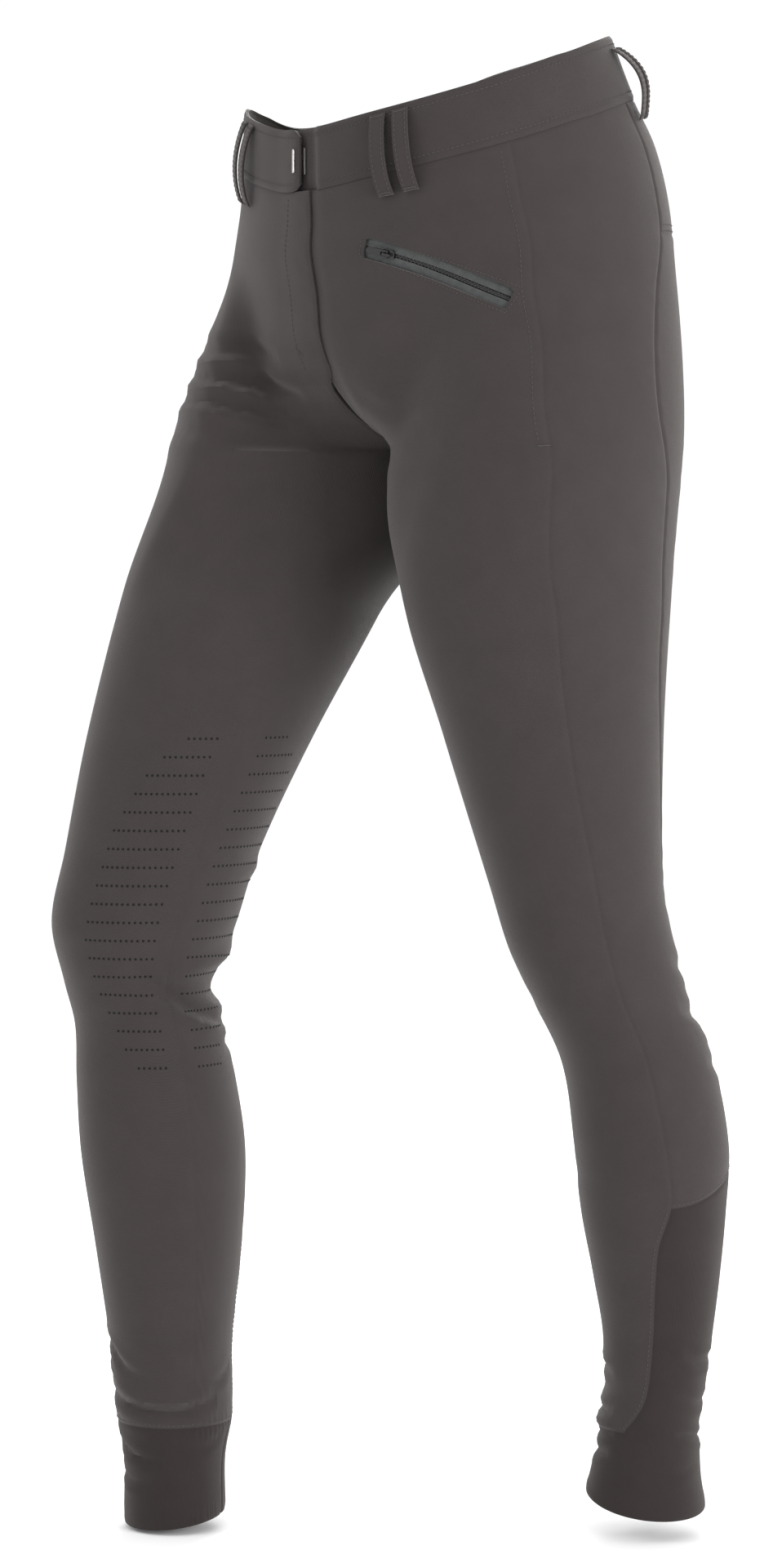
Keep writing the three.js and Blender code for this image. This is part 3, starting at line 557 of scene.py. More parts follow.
def finish_edges(points, outs, faces, uv, roll, soft=1.6, still=None):
    """Lets the outline reach a little into the next piece, so that no light shows through, and
    rolls it into the seam, with the light pucker that the stitching leaves beside it."""
    edges = open_edges(faces)
    moved = points.copy()
    for a, b, before, after in edges:
        for at, towards in ((a, before), (b, after)):
            step = points[towards] - points[at]
            moved[at] -= SEAM_OVERLAP * step / max(np.linalg.norm(step), 1e-6)
    rim = np.array(sorted({a for a, *_ in edges} | {b for _, b, *_ in edges}))
    if still is not None:
        rim = rim[~still[rim]]
    far, deep = np.full(len(points), 99.0), np.zeros(len(points))
    roll = np.broadcast_to(roll, len(points))
    for start in range(0, len(points), 2000):
        gap = ((points[start:start + 2000, None] - points[rim][None]) ** 2).sum(-1)
        far[start:start + 2000] = np.sqrt(gap.min(1))
        deep[start:start + 2000] = roll[rim][gap.argmin(1)]
    wave = np.sin(uv[:, 1] / 2.9 + 1.7 * np.sin(uv[:, 1] / 13 + uv[:, 0] / 31) + uv[:, 0] / 5)
    pucker = PUCKER * wave * np.exp(-((far - PUCKER_AT) / PUCKER_WIDTH) ** 2)
    drop = deep * np.exp(-(far / soft) ** 2) - pucker
    return moved - outs * drop[:, None]


def grid_piece(half, blocks):
    """Points, outs, flat map, columns, rows and faces of the cells in these blocks."""
    g = GRID[half]
    last = COL[BACK]
    number = -np.ones(g["column"].shape, int)
    order, faces = [], []

    def point(r, c):
        if number[r, c] < 0:
            number[r, c] = len(order)
            order.append((r, c))
        return number[r, c]

    for (top, bottom), (first, end) in blocks:
        ring = (first, end) == (0, last) and top >= EDGE_ROW[SHIN_ROW]
        for r in range(top, bottom):
            for c in range(first, end):
                right = 0 if ring and c + 1 == last else c + 1
                cell = [point(r, c), point(r + 1, c), point(r + 1, right), point(r, right)]
                faces.append(cell if half == "left" else cell[::-1])
    r, c = np.array(order).T
    return g["place"][r, c], g["out"][r, c], MAP[half][r, c], g["column"][r, c], r, faces


def clip_out(points, outs, uv, depth, faces):
    """Cuts away the part of a sheet where depth is below 0, along a clean line."""
    points, outs, uv = list(points), list(outs), list(uv)
    cut, kept = {}, []
    for face in faces:
        inside = [depth[k] < 0 for k in face]
        if all(inside):
            continue
        if not any(inside):
            kept.append(face)
            continue
        corners = []
        for k, a in enumerate(face):
            b = face[(k + 1) % len(face)]
            if depth[a] >= 0:
                corners.append(a)
            if (depth[a] < 0) != (depth[b] < 0):
                key = (min(a, b), max(a, b))
                if key not in cut:
                    s = depth[a] / (depth[a] - depth[b])
                    cut[key] = len(points)
                    points.append(mix(points[a], points[b], s))
                    outs.append(unit(mix(outs[a], outs[b], s)))
                    uv.append(mix(uv[a], uv[b], s))
                corners.append(cut[key])
        if len(corners) > 2:
            kept.append(corners)
    used = sorted({k for face in kept for k in face})
    new = {k: n for n, k in enumerate(used)}
    on_cut = np.array([k in set(cut.values()) for k in used])
    take = [np.array([values[k] for k in used]) for values in (points, outs, uv)]
    return (*take, [[new[k] for k in face] for face in kept], on_cut)


def pocket_place(along, above, out):
    """A place on the pocket: share of its length, mm above its middle line, mm out."""
    along, above = np.broadcast_arrays(np.asarray(along, float), np.asarray(above, float))
    (share_a, z_a), (share_b, z_b) = POCKET["from"], POCKET["to"]
    share = mix(share_a, share_b, along)
    z = mix(z_a, z_b, along) - POCKET["bow"] * np.sin(np.pi * along)
    step = 0.004
    start, _ = on_cloth("left", share, z)
    ahead = on_cloth("left", share + step, z + step * (z_b - z_a) / (share_b - share_a))[0] - start
    round_by = np.hypot(ahead[..., 0], ahead[..., 1])
    length = np.linalg.norm(ahead, axis=-1)
    lean = -above * (ahead[..., 2] / length) * (step / round_by)
    point, normal = on_cloth("left", share + lean, z + above * round_by / length, out)
    return point, normal, unit(ahead)


def window_depth(points):
    """Distance of points outside the pocket's window, below 0 inside it."""
    along = np.linspace(-0.1, 1.1, 241)
    line, normal, ahead = pocket_place(along, 0.0, 0.0)
    up = unit(np.cross(ahead, normal) * -1)
    length = np.linalg.norm(np.diff(line, axis=0), axis=-1).sum() / 1.2
    gap = ((points[:, None] - line[None]) ** 2).sum(-1)
    k = gap.argmin(1)
    away = points - line[k]
    above = np.abs((away * up[k]).sum(-1))
    s = along[k] + (away * ahead[k]).sum(-1) / length
    ends = np.maximum(-s, s - 1) * length
    near = np.sqrt(gap.min(1)) < 40
    return np.where(near, np.maximum(above - POCKET["half"], ends), 99.0)


# Finishes
def set_inputs(made, settings):
    for key, value in settings.items():
        made.inputs[key].default_value = value


def new_material(name, settings):
    material = bpy.data.materials.new(name)
    material.use_nodes = True
    shader = material.node_tree.nodes["Principled BSDF"]
    set_inputs(shader, settings)
    return material, material.node_tree, shader


def noise(tree, places, **settings):
    made = tree.nodes.new("ShaderNodeTexNoise")
    set_inputs(made, settings)
    tree.links.new(places.outputs["Object"], made.inputs["Vector"])
    return made.outputs[0]


def math_node(tree, operation, *values):
    made = tree.nodes.new("ShaderNodeMath")
    made.operation = operation
    for k, value in enumerate(values):
        if isinstance(value, (int, float)):
            made.inputs[k].default_value = value
        else:
            tree.links.new(value, made.inputs[k])
    return made.outputs[0]


def total(tree, *terms):
    """The sum of (value, weight) terms."""
    made = 0.0
    for value, weight in terms:
        made = math_node(tree, "MULTIPLY_ADD", value, weight, made)
    return made


def colour_blend(tree, factor, low, high):
    ramp = tree.nodes.new("ShaderNodeValToRGB")
    ramp.color_ramp.elements[0].color = (*low, 1)
    ramp.color_ramp.elements[1].color = (*high, 1)
    tree.links.new(factor, ramp.inputs[0])
    return ramp.outputs[0]


def bump(tree, shader, height, strength, distance):
    made = tree.nodes.new("ShaderNodeBump")
    made.inputs["Strength"].default_value = strength
    made.inputs["Distance"].default_value = distance
    tree.links.new(height, made.inputs["Height"])
    tree.links.new(made.outputs[0], shader.inputs["Normal"])


def waves(tree, coordinate, x, y, pitch):
    """A ripple across the cloth, of this pitch in mm, that runs along (x, y) on the flat map."""
    split = tree.nodes.new("ShaderNodeSeparateXYZ")
    tree.links.new(coordinate, split.inputs[0])
    turn = 2 * math.pi / pitch
    across = total(tree, (split.outputs[0], x * turn), (split.outputs[1], y * turn))
    return math_node(tree, "SINE", across)


def cloth_material(name, dark, light, rough, sheen, weave, pitch, sheen_tint):
    """Cloth with its weave on the flat map in mm and soft mottling in the dye."""
    material, tree, shader = new_material(name, {
        "Roughness": rough, "Sheen Weight": sheen, "Sheen Roughness": 0.45,
        "Sheen Tint": (*sheen_tint, 1), "Specular IOR Level": 0.18})
    places = tree.nodes.new("ShaderNodeTexCoord")
    flat = places.outputs["UV"]
    ribs = waves(tree, flat, *weave, pitch)
    cross = waves(tree, flat, weave[1], -weave[0], pitch * 0.8)
    woven = total(tree, (cross, 0.5), (ribs, 1.0))
    fuzz = noise(tree, places, Scale=2600.0, Detail=2.0, Roughness=0.6)
    blotch = noise(tree, places, Scale=48.0, Detail=3.0, Roughness=0.55)
    tone = total(tree, (woven, 0.09), (fuzz, 0.55), (blotch, 0.45))
    tree.links.new(colour_blend(tree, tone, dark, light), shader.inputs["Base Color"])
    bump(tree, shader, total(tree, (woven, 0.5), (fuzz, 1.0)), 0.35, 0.00035)
    return material


def tape_finish():
    """Coated zip tape: smooth, glossy, with fine ribs along it."""
    material, tree, shader = new_material("zip tape", {
        "Roughness": 0.32, "Coat Weight": 0.15, "Coat Roughness": 0.2, "Specular IOR Level": 0.3})
    places = tree.nodes.new("ShaderNodeTexCoord")
    ribs = waves(tree, places.outputs["UV"], 0.0, 1.0, 0.9)
    threads = waves(tree, places.outputs["UV"], 1.0, 0.0, 0.7)
    both = total(tree, (threads, 0.6), (ribs, 1.0))
    tone = total(tree, (both, 0.08), (noise(tree, places, Scale=260.0, Detail=2.0), 1.0))
    tree.links.new(colour_blend(tree, tone, (0.024, 0.026, 0.026), (0.058, 0.062, 0.062)),
                   shader.inputs["Base Color"])
    bump(tree, shader, both, 0.3, 0.0002)
    return material


def speckled(name, dark, light, rough, metal, scale, lift, coat=0.0, shine=0.5):
    """Metal, plastic, thread or floor: a slightly uneven tone with a fine grain."""
    material, tree, shader = new_material(name, {
        "Roughness": rough, "Metallic": metal, "Coat Weight": coat, "Specular IOR Level": shine})
    places = tree.nodes.new("ShaderNodeTexCoord")
    grain = noise(tree, places, Scale=scale, Detail=3.0, Roughness=0.6)
    tree.links.new(colour_blend(tree, grain, dark, light), shader.inputs["Base Color"])
    bump(tree, shader, grain, 0.2, lift)
    return material


TWILL = cloth_material("stretch twill", (0.0235, 0.0192, 0.0186), (0.042, 0.0352, 0.034),
                       0.72, 0.22, (0.8, 0.6), 0.9, (0.92, 0.88, 0.86))
JERSEY = cloth_material("jersey", (0.015, 0.0115, 0.011), (0.029, 0.0235, 0.022),
                        0.85, 0.2, (1.0, 0.0), 0.8, (0.9, 0.86, 0.84))
TAPE = tape_finish()
COIL = speckled("coil plastic", (0.006, 0.006, 0.006), (0.016, 0.016, 0.016),
                0.4, 0, 900, 0.0001)
BLACK = speckled("black coated metal", (0.008, 0.008, 0.008), (0.02, 0.02, 0.02),
                 0.32, 0.4, 700, 0.00005, 0.3)
BRIGHT = speckled("bright steel", (0.5, 0.49, 0.47), (0.72, 0.71, 0.69), 0.24, 1.0, 500, 0.00004)
THREAD = speckled("sewing thread", (0.040, 0.036, 0.035), (0.085, 0.078, 0.076),
                  0.7, 0, 3000, 0.0001, shine=0.15)
SILICONE = speckled("grip silicone", (0.003, 0.003, 0.003), (0.008, 0.007, 0.007),
                    0.42, 0, 1200, 0.0001, shine=0.12)

MADE = {}  # the finished piece of each cloth or zip solid
CUFF_SEAM_SHIFT = {"left": 0.0, "right": -9.0}  # mm round, where the cuff's own seam lies


def put_on(obj, solid=None):
    """The object goes with the cloth, in place of a solid if one is named."""
    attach(obj, "garment")
    if solid:
        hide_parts(solid)
        MADE[solid] = obj


def seam_depth(column, z):
    """How far in an edge is rolled, in mm: the back seam deeply, the inseam hardly at all."""
    middle = (column == 0) | (column == BACK)
    depth = np.where(middle, np.where(z < CROTCH_Z, 0.12, 0.55), 0.5)
    depth = np.where(column == OUTSEAM, np.where(z < ROW_ENDS[CALF_ROW], 0.4, 0.42), depth)
    return np.where(column == BACK_SEAM, 0.95, depth)


def cloth_piece(name, half, blocks, material=TWILL):
    """One cut piece of cloth on its CAD node's form, as a thin wall with rolled edges. The
    pocket's window is cut out of the left front, and a cuff has its own seam as a groove."""
    points, outs, uv, column, row, faces = grid_piece(half, blocks)
    full = f"{name}_{half}"
    still = None
    if full == "front_left":
        depth = window_depth(points)
        points, outs, both, faces, still = clip_out(points, outs, np.c_[uv, column], depth, faces)
        uv, column = both[:, :2], both[:, 2].round(6)
    elif name == "cuff":
        shift = CUFF_SEAM_SHIFT[half] * (row >= EDGE_ROW[SHIN_ROW])
        seam = MAP[half][row, COL[BACK_SEAM], 0] + shift
        points = points - outs * (0.7 * np.exp(-((uv[:, 0] - seam) / 1.4) ** 2))[:, None]
    points = finish_edges(points, outs, faces, uv, seam_depth(column, points[:, 2]), still=still)
    obj = make_object(f"{full}_cloth", points, faces, material, uv)
    give_wall(obj, CLOTH)
    put_on(obj, full)


def build_panels(half):
    band, yoke, calf, shin, hem = EDGE_ROW
    side, back, end = COL[OUTSEAM], COL[BACK_SEAM], COL[BACK]
    cloth_piece("front", half, [((band, shin), (0, side))])
    cloth_piece("side_back", half, [((band, calf), (side, back))])
    cloth_piece("yoke", half, [((band, yoke), (back, end))])
    cloth_piece("seat", half, [((yoke, shin), (back, end))])
    cloth_piece("cuff", half, [((calf, shin), (side, back)), ((shin, hem), (0, end))],
                JERSEY)


def strip_faces(rows, columns):
    return [[k, k + columns, k + columns + 1, k + 1]
            for k in (r * columns + c for r in range(rows - 1) for c in range(columns - 1))]


# Waistband: each half runs from the centre front to the centre back
def band_height(half, share, level):
    if half == "left":
        return level
    s = np.clip((TAB_END + TAB_ROUND - share) / TAB_ROUND, 0, 1)
    return mix(BAND_MIDDLE, level, 1 - 0.26 * s * s)


def band_out(half, share):
    if half == "right":
        return BAND_PROUD + TAB_LIFT * (1 - smooth(0, 0.06, share))
    return BAND_PROUD - UNDERLAP_IN * (1 - smooth(STEP_FROM, STEP_TO, share))


def band_place(half, share, level, groove=0.0):
    """Points on the band's outer face and their directions out."""
    z = band_height(half, share, level)
    normal = outward_normal(half, share, z)
    normal = np.where((share == 1)[..., None], unit(normal * np.array([0, 1, 1])), normal)
    return bare(half, share, z) + normal * (band_out(half, share) - groove)[..., None], normal


def build_band(half):
    start = TAB_END if half == "right" else UNDERLAP_END
    shares = start + (1 - start) * fine(0, 400, COLUMN_STEP) / 400
    levels = BAND_TOP - fine(0, BAND_TOP - BAND_BOTTOM, 3.2)
    share, level = np.meshgrid(shares, levels)
    groove = 0.28 * np.exp(-((np.minimum(BAND_TOP - level, level - BAND_BOTTOM) - 5) / 1.3) ** 2)
    points, normal = band_place(half, share, level, groove)
    uv = flat_map(points).reshape(-1, 2)
    faces = strip_faces(len(levels), len(shares))
    if half == "right":
        faces = [f[::-1] for f in faces]
    points = finish_edges(points.reshape(-1, 3), normal.reshape(-1, 3), faces, uv, 0.8, soft=1.4)
    obj = make_object(f"waistband_{half}_cloth", points, faces, TWILL, uv)
    give_wall(obj, BAND_WALL)
    put_on(obj, f"waistband_{half}")


# Belt loops: name, share round, stand-off, top and bottom
LOOPS = [
    ("front_1", 0.150, 7.5, 14, -41),
    ("front_2", 0.190, 7.5, 14, -41),
    ("back_1", 0.655, 12.5, 9, -35),
    ("back_2", 0.695, 12.5, 9, -35),
]
LOOP_WIDTH, LOOP_WALL, LOOP_SEAT = 11.0, 1.6, 0.45


def loop_path(half, share, stand, top, bottom, count):
    s = np.linspace(0, 1, count)
    z = mix(top, bottom, s)
    rest = BAND_PROUD + LOOP_SEAT + LOOP_WALL
    out = rest + (stand - LOOP_WALL) * np.sin(np.pi * s) ** 0.8
    middle, normal = on_cloth(half, share + 0 * z, z)
    side = unit(on_cloth(half, share + 0.01 + 0 * z, z)[0] - middle)
    return middle, normal, side, out


def build_loop(half, name, share, stand, top, bottom):
    """A folded strap: a rounded section swept along its path, a little thinner in the middle."""
    middle, normal, side, out = loop_path(half, share, stand, top, bottom, 30)
    w, t = LOOP_WIDTH / 2, LOOP_WALL
    section = np.array([
        (-w, -0.5 * t), (-w + 0.25, -0.12 * t), (-w + 0.9, 0), (-w + 2.2, -0.10), (-1.6, -0.02),
        (1.6, -0.02), (w - 2.2, -0.10), (w - 0.9, 0), (w - 0.25, -0.12 * t), (w, -0.5 * t),
        (w - 0.3, -0.9 * t), (w - 1.2, -t), (0, -0.94 * t), (-w + 1.2, -t), (-w + 0.3, -0.9 * t),
    ])
    rows = (middle[:, None] + side[:, None] * section[None, :, 0, None]
            + normal[:, None] * (out[:, None] + section[None, :, 1])[..., None])
    n, m = rows.shape[:2]
    faces = [[r * m + c, (r + 1) * m + c, (r + 1) * m + (c + 1) % m, r * m + (c + 1) % m]
             for r in range(n - 1) for c in range(m)]
    faces += [list(range(m)), list(range((n - 1) * m, n * m))[::-1]]
    along = np.linspace(0, 62, n)[:, None] + np.zeros((1, m))
    sides = np.linalg.norm(np.diff(section, axis=0, prepend=section[:1]), axis=1)
    round_it = np.cumsum(sides)[None] + 0 * along
    obj = make_object(f"belt_loop_{name}_{half}_cloth", rows, faces, TWILL,
                      np.stack([round_it, -along], -1))
    outward(obj)
    smooth_faces(obj, 50)
    put_on(obj, f"belt_loop_{name}_{half}")


# Zip pocket: two coated tapes with a coil of teeth between them, under the window
TAPE_WALL, TAPE_UNDER, COIL_WALL, COIL_HALF = 0.8, 4.0, 0.9, 1.4
UNDER = -CLOTH - 0.5
POCKET_LENGTH, TOOTH_PITCH = 95, 1.15
ZIP_ENDS, ZIP_STEPS = (-0.03, 1.03), 90


def zip_strip(name, solid, high, low, lines, out, wall, material):
    """A strip along the pocket, from high to low mm above its middle line."""
    along, above = np.meshgrid(np.linspace(*ZIP_ENDS, ZIP_STEPS), np.linspace(high, low, lines))
    points, *_ = pocket_place(along, above, UNDER + out(above))
    obj = make_object(name, points, strip_faces(lines, ZIP_STEPS), material, flat_map(points))
    give_wall(obj, wall)
    put_on(obj, solid)


def tape_lip(above):
    return 0.25 * np.exp(-((np.abs(above) - COIL_HALF - 0.9) / 0.5) ** 2)


def coil_crown(above):
    return -0.25 - 0.5 * (above / COIL_HALF) ** 4


def small_ball(segments, rings, size):
    """Points in mm and faces of a small ball, squashed to this size."""
    select_only()
    bpy.ops.mesh.primitive_uv_sphere_add(segments=segments, ring_count=rings, radius=1)
    obj = bpy.context.object
    obj.data.transform(Matrix.Diagonal((*size, 1)))
    points = np.array([v.co for v in obj.data.vertices])
    faces = sorted(list(f.vertices) for f in obj.data.polygons)
    bpy.data.objects.remove(obj)
    return points, faces


TOOTH = small_ball(8, 5, (0.42, 1.0, 0.5))
STITCH = small_ball(6, 4, (0.5, 1.0, 0.42))
DOT = small_ball(6, 4, (1.0, 1.0, 0.42))


def copies(name, one, places, material):
    """Copies of one shape, each in a frame (place, x, y, z) in mm, as one piece."""
    points, faces = one
    every, all_faces = [], []
    for place, x, y, z in places:
        start = len(every) * len(points)
        every.append(place + points @ np.array([x, y, z]))
        all_faces += [[start + k for k in f] for f in faces]
    obj = make_object(name, np.concatenate(every), all_faces, material)
    outward(obj)
    smooth_faces(obj, 60)
    put_on(obj)


def build_zip():
    """Both tapes, and the coil: a core strip with slanted teeth, left and right of the middle."""
    inner, outer = COIL_HALF + 0.3, POCKET["half"] + TAPE_UNDER
    for side, high, low in (("upper", outer, inner), ("lower", -inner, -outer)):
        zip_strip(f"pocket_tape_{side}_cloth", f"pocket_tape_{side}", high, low, 12, tape_lip,
                  TAPE_WALL, TAPE)
    zip_strip("pocket_coil_core", "pocket_coil", COIL_HALF, -COIL_HALF, 7, coil_crown,
              COIL_WALL, COIL)
    places = []
    for k, s in enumerate(np.arange(-0.02, 1.02, TOOTH_PITCH / POCKET_LENGTH)):
        side = 1 if k % 2 else -1
        point, normal, ahead = pocket_place(s, side * 0.55, UNDER - 0.12)
        across = np.cross(normal, ahead)
        lean = unit(across + 0.25 * side * ahead)
        places.append((point, unit(np.cross(lean, normal)), lean * 0.95, normal))
    copies("pocket_coil_teeth", TOOTH, places, COIL)


def build_all():
    for half in SIGN:
        build_panels(half)
        build_band(half)
        for loop in LOOPS:
            build_loop(half, *loop)
    build_zip()


build_all()


# Metal pieces keep the solids' form and get softened edges
def soften(name, material, wide):
    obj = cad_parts[name]
    weld = obj.modifiers.new("weld", "WELD")
    weld.merge_threshold = 0.00002
    edge = obj.modifiers.new("edge", "BEVEL")
    edge.width = wide
    edge.segments = 3
    edge.limit_method = "ANGLE"
    edge.angle_limit = math.radians(35)
    for slot in obj.material_slots:
        slot.material = material


for name in ("pocket_slider", "pocket_pull"):
    soften(name, BLACK, 0.0003)
for name in ("clasp_bar", "clasp_hook", "clasp_face"):
    soften(name, BRIGHT, 0.0002)


# Stitching. One stitch is a short plump bar along Y; rows of it lie on the finished cloth.
def tree_of(names):
    """One search tree over the finished faces of these pieces, in mm."""
    points, faces = [], []
    for name in names:
        mesh = MADE[name].data
        start = len(points)
        points += [v.co / MM for v in mesh.vertices]
        faces += [[start + k for k in f.vertices] for f in mesh.polygons]
    return BVHTree.FromPolygons(points, faces)


def drop(tree, place, out, reach):
    """Where a place lands on the cloth near it, and the direction out there, or None."""
    hit, normal, *_ = tree.ray_cast(Vector(place + out * reach), Vector(-out), 2 * reach)
    return None if hit is None else (np.array(hit), np.array(normal))


def stitch_rows(name, rows, tree, pitch=3.2, long=2.2, thick=0.7):
    """Stitches along rows of (points, outs), dropped onto the cloth, as one piece."""
    places = []
    for points, outs in rows:
        length = np.concatenate([[0], np.cumsum(np.linalg.norm(np.diff(points, axis=0), axis=-1))])
        for at in np.arange(pitch / 2, length[-1], pitch):
            spot = [np.array([np.interp(at + d, length, points[:, k]) for k in range(3)])
                    for d in (-long / 2, 0, long / 2)]
            out = unit(np.array([np.interp(at, length, outs[:, k]) for k in range(3)]))
            hits = [drop(tree, p, out, 8) for p in spot]
            if None in hits:
                continue
            first, middle, last = (hit[0] for hit in hits)
            ahead = unit(last - first)
            side = unit(np.cross(ahead, out))
            up = np.cross(side, ahead)
            middle = (first + middle + last) / 3 + up * 0.12
            places.append((middle, side * thick, ahead * long / 2, up * thick))
    copies(name, STITCH, places, THREAD)


def seam_path(half, column, top, bottom, shift, step=2.0):
    """A line beside a seam, shift mm further round from the front."""
    z = np.linspace(top, bottom, max(3, int(abs(top - bottom) / step)))
    share = grid_share(half, np.full_like(z, column), z)
    ahead = bare(half, share + 0.002, z) - bare(half, share - 0.002, z)
    return on_cloth(half, share + shift * 0.004 / np.linalg.norm(ahead, axis=-1), z)


def grid_line(half, row, shift, cols):
    """A line of the finished grid along one row of it, shift mm down."""
    g = GRID[half]
    across = slice(cols[0], cols[1] + 1)
    below = g["place"][min(row + 2, len(ROWS) - 1), across]
    above = g["place"][max(row - 2, 0), across]
    return g["place"][row, across] + unit(below - above) * shift, g["out"][row, across]


def loops_tree(half):
    return tree_of([f"belt_loop_{loop[0]}_{half}" for loop in LOOPS])


def build_stitching():
    for half in SIGN:
        share = np.linspace(0.006 if half == "right" else 0.03, 0.998, 200)
        rows = [band_place(half, share, level) for level in (BAND_TOP - 5, BAND_BOTTOM + 5)]
        stitch_rows(f"band_stitches_{half}", rows, tree_of([f"waistband_{half}"]))
        panels = ("front", "side_back", "yoke", "seat", "cuff")
        tree = tree_of([f"{name}_{half}" for name in panels])
        stitch_rows(f"outseam_stitches_{half}", [seam_path(half, OUTSEAM, -27, -228, -7.0)], tree)
        behind = (COL[BACK_SEAM] + 1, COL[BACK] - 1)
        yoke, calf, shin = EDGE_ROW[YOKE_ROW], EDGE_ROW[CALF_ROW], EDGE_ROW[SHIN_ROW]
        rows = [grid_line(half, yoke, shift, behind) for shift in (-2.2, -6.4)]
        stitch_rows(f"yoke_stitches_{half}", rows, tree)
        rows = [grid_line(half, calf, -2.4, (COL[OUTSEAM], COL[BACK_SEAM])),
                grid_line(half, shin, -2.4, (2, COL[OUTSEAM] - 1)),
                grid_line(half, shin, -2.4, behind),
                seam_path(half, OUTSEAM, ROW_ENDS[CALF_ROW] - 2, ROW_ENDS[SHIN_ROW], -2.4),
                seam_path(half, BACK_SEAM, ROW_ENDS[CALF_ROW] + 18, ROW_ENDS[SHIN_ROW], 2.4)]
        stitch_rows(f"insert_stitches_{half}", rows, tree)
        rows = []
        for _, *where in LOOPS:
            middle, normal, side, out = loop_path(half, *where, 40)
            for edge in (-LOOP_WIDTH / 2 + 1.9, LOOP_WIDTH / 2 - 1.9):
                rows.append((middle + side * edge + normal * out[:, None], normal))
        stitch_rows(f"loop_stitches_{half}", rows, loops_tree(half))


def line_on(half, points, count=160):
    """A smooth line over the cloth through a few (share round, height) points."""
    curve = along_curve(points, count)
    share = np.where(curve[:, 0] > 1, curve[:, 0] - 1, curve[:, 0])
    return on_cloth(half, share, curve[:, 1])


def build_fly_stitching():
    edge = [(0.0286, -27), (0.0300, -60), (0.0304, -106), (0.0290, -140), (0.0272, -163),
            (0.0262, -178), (0.0205, -188), (0.0085, -196)]
    tree = tree_of(["front_right", "front_left"])
    stitch_rows("fly_stitches", [line_on("right", edge)], tree)
    tack = [line_on("right", [(0.0304, -164), (0.0197, -170.5)], 20)]
    stitch_rows("fly_tack", tack, tree, pitch=0.9, long=1.3, thick=1.2)


def build_tacks():
    """Short dense bars: where the outseam row ends, and over both ends of each loop."""
    for half in SIGN:
        tree = tree_of([f"front_{half}", f"side_back_{half}"])
        bar = [line_on(half, [(0.3895, -231.5), (0.4035, -231)], 20)]
        stitch_rows(f"outseam_tack_{half}", bar, tree, pitch=0.9, long=1.3, thick=1.1)
        bars = []
        for _, *where in LOOPS:
            middle, normal, side, out = loop_path(half, *where, 60)
            for k in (2, 57):
                across = np.linspace(-LOOP_WIDTH / 2 + 1.5, LOOP_WIDTH / 2 - 1.5, 12)[:, None]
                bars.append((middle[k] + side[k] * across + normal[k] * out[k],
                             normal[k] + 0 * across))
        stitch_rows(f"loop_tacks_{half}", bars, loops_tree(half), pitch=1.0, long=1.4, thick=1.1)


def build_pocket_frame():
    """The dotted frame of stitches round the pocket's window."""
    tree = tree_of(["front_left"])
    away = POCKET["half"] + 2.4
    past = 2.4 / POCKET_LENGTH
    long_way = np.linspace(-past, 1 + past, 140)
    ends = np.linspace(-away, away, 30)
    rows = [pocket_place(long_way, away, 0)[:2], pocket_place(long_way, -away, 0)[:2],
            pocket_place(-past, ends, 0)[:2], pocket_place(1 + past, ends, 0)[:2]]
    stitch_rows("pocket_frame_stitches", rows, tree, pitch=2.6, long=1.8)


# Knee grip: plain level rows of small silicone dots on the inner side of both knees, with the
# strip over the inseam left free
GRIP = {"middle": {"right": -530, "left": -545}, "high": 112, "row": 12.0, "dot": 3.5,
        "front": (0.035, 0.13), "back": (0.962, 0.14), "radius": 0.92}


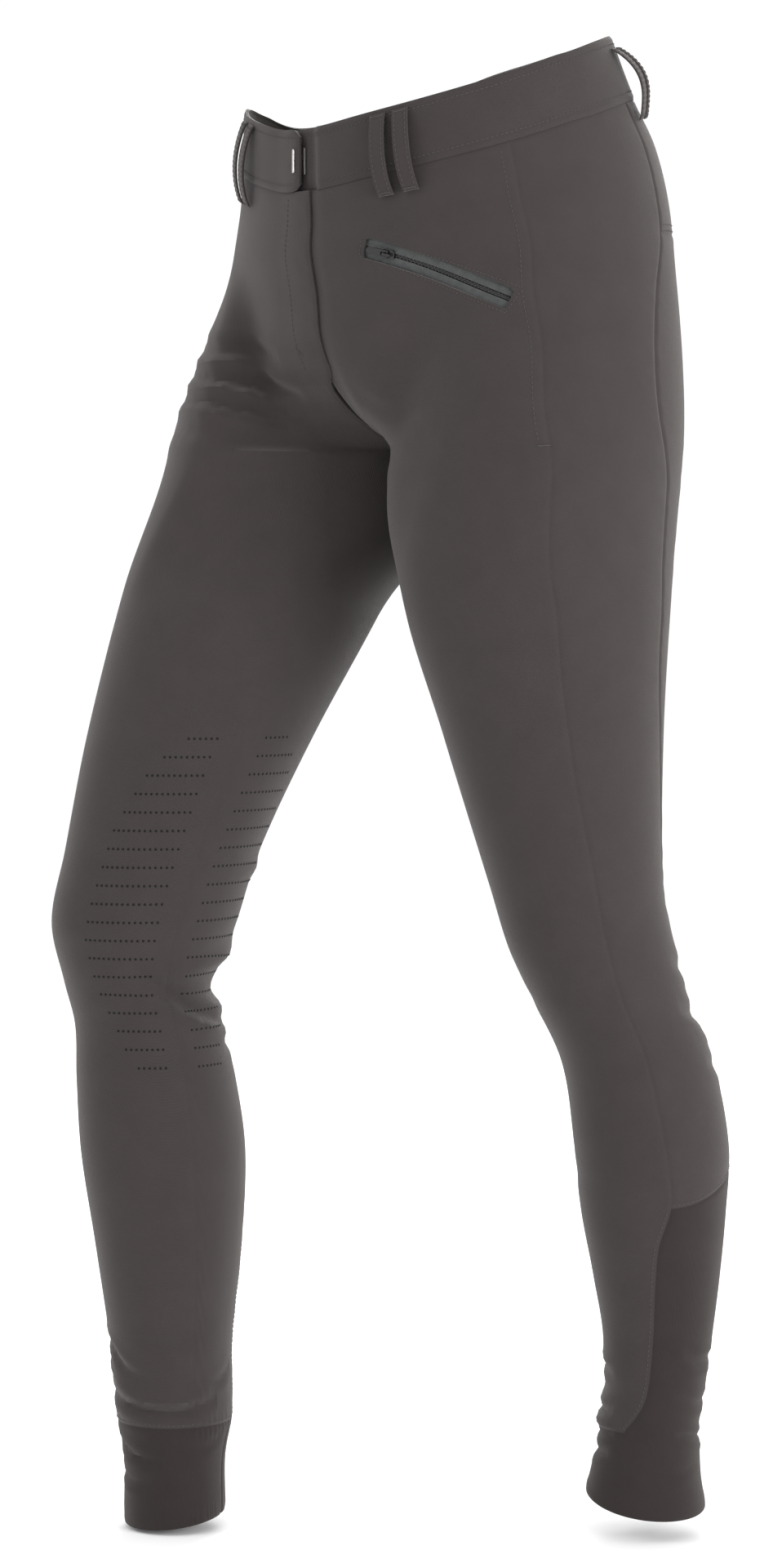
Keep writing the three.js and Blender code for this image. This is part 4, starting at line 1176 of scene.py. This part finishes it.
def build_grip(half):
    tree = tree_of([f"front_{half}", f"seat_{half}"])
    middle, high = GRIP["middle"][half], GRIP["high"]
    places = []
    for n in range(int(2 * high / GRIP["row"]) + 1):
        z = middle + high - n * GRIP["row"]
        reach = math.sqrt(max(0.0, 1 - ((z - middle) / (high + 6)) ** 2))
        step = GRIP["dot"] / float(ring_length(half, z))
        for start, wide, way in ((*GRIP["front"], 1), (*GRIP["back"], -1)):
            share = start + way * np.arange(0, wide * reach, step)
            points, outs = on_cloth(half, share, z)
            for p, out in zip(points, outs):
                hit = drop(tree, p, out, 12)
                if hit is None:
                    continue
                spot, up = hit
                side = unit(np.cross(up, (0, 0, 1)))
                r = GRIP["radius"]
                places.append((spot + up * 0.05, side * r, np.cross(up, side) * r, up * r))
    copies(f"knee_grip_{half}", DOT, places, SILICONE)


build_stitching()
build_fly_stitching()
build_tacks()
build_pocket_frame()
for half in SIGN:
    build_grip(half)


# Camera at the photograph's angle, soft studio light and a plain pale floor
def area_light(name, place, towards, size, power):
    data = bpy.data.lights.new(name, "AREA")
    data.size = size
    data.energy = power
    obj = bpy.data.objects.new(name, data)
    obj.location = place
    obj.rotation_euler = (Vector(towards) - Vector(place)).to_track_quat("-Z", "Y").to_euler()
    bpy.context.collection.objects.link(obj)


def studio():
    data = bpy.data.cameras.new("camera")
    data.sensor_fit = "VERTICAL"
    data.sensor_height = 24
    data.lens = 60.1
    camera = bpy.data.objects.new("camera", data)
    camera.location = (1.9732, -1.6932, -0.315)
    camera.rotation_euler = (math.radians(87.03), 0, math.radians(50))
    bpy.context.collection.objects.link(camera)
    bpy.context.scene.camera = camera
    world = bpy.data.worlds.new("studio")
    world.use_nodes = True
    set_inputs(world.node_tree.nodes["Background"], {"Color": (1, 1, 1, 1), "Strength": 1.05})
    bpy.context.scene.world = world
    bpy.context.scene.view_settings.view_transform = "Standard"
    middle = (0, 0, -0.45)
    area_light("key", (2.9, 0.3, -0.1), middle, 1.4, 62)
    area_light("front", (-0.9, -2.6, 1.4), middle, 1.0, 18)
    area_light("rim", (-1.6, 1.8, 0.9), middle, 1.4, 40)
    select_only()
    bpy.ops.mesh.primitive_plane_add(size=40, location=(0, 0, -0.9475))
    floor = bpy.context.object
    floor.name = "floor"
    bpy.ops.object.transform_apply(location=True, rotation=False, scale=False)
    floor.data.materials.append(speckled("pale floor", (0.965, 0.965, 0.965), (0.985, 0.985, 0.985),
                                         0.9, 0, 3, 0.0001))


studio()
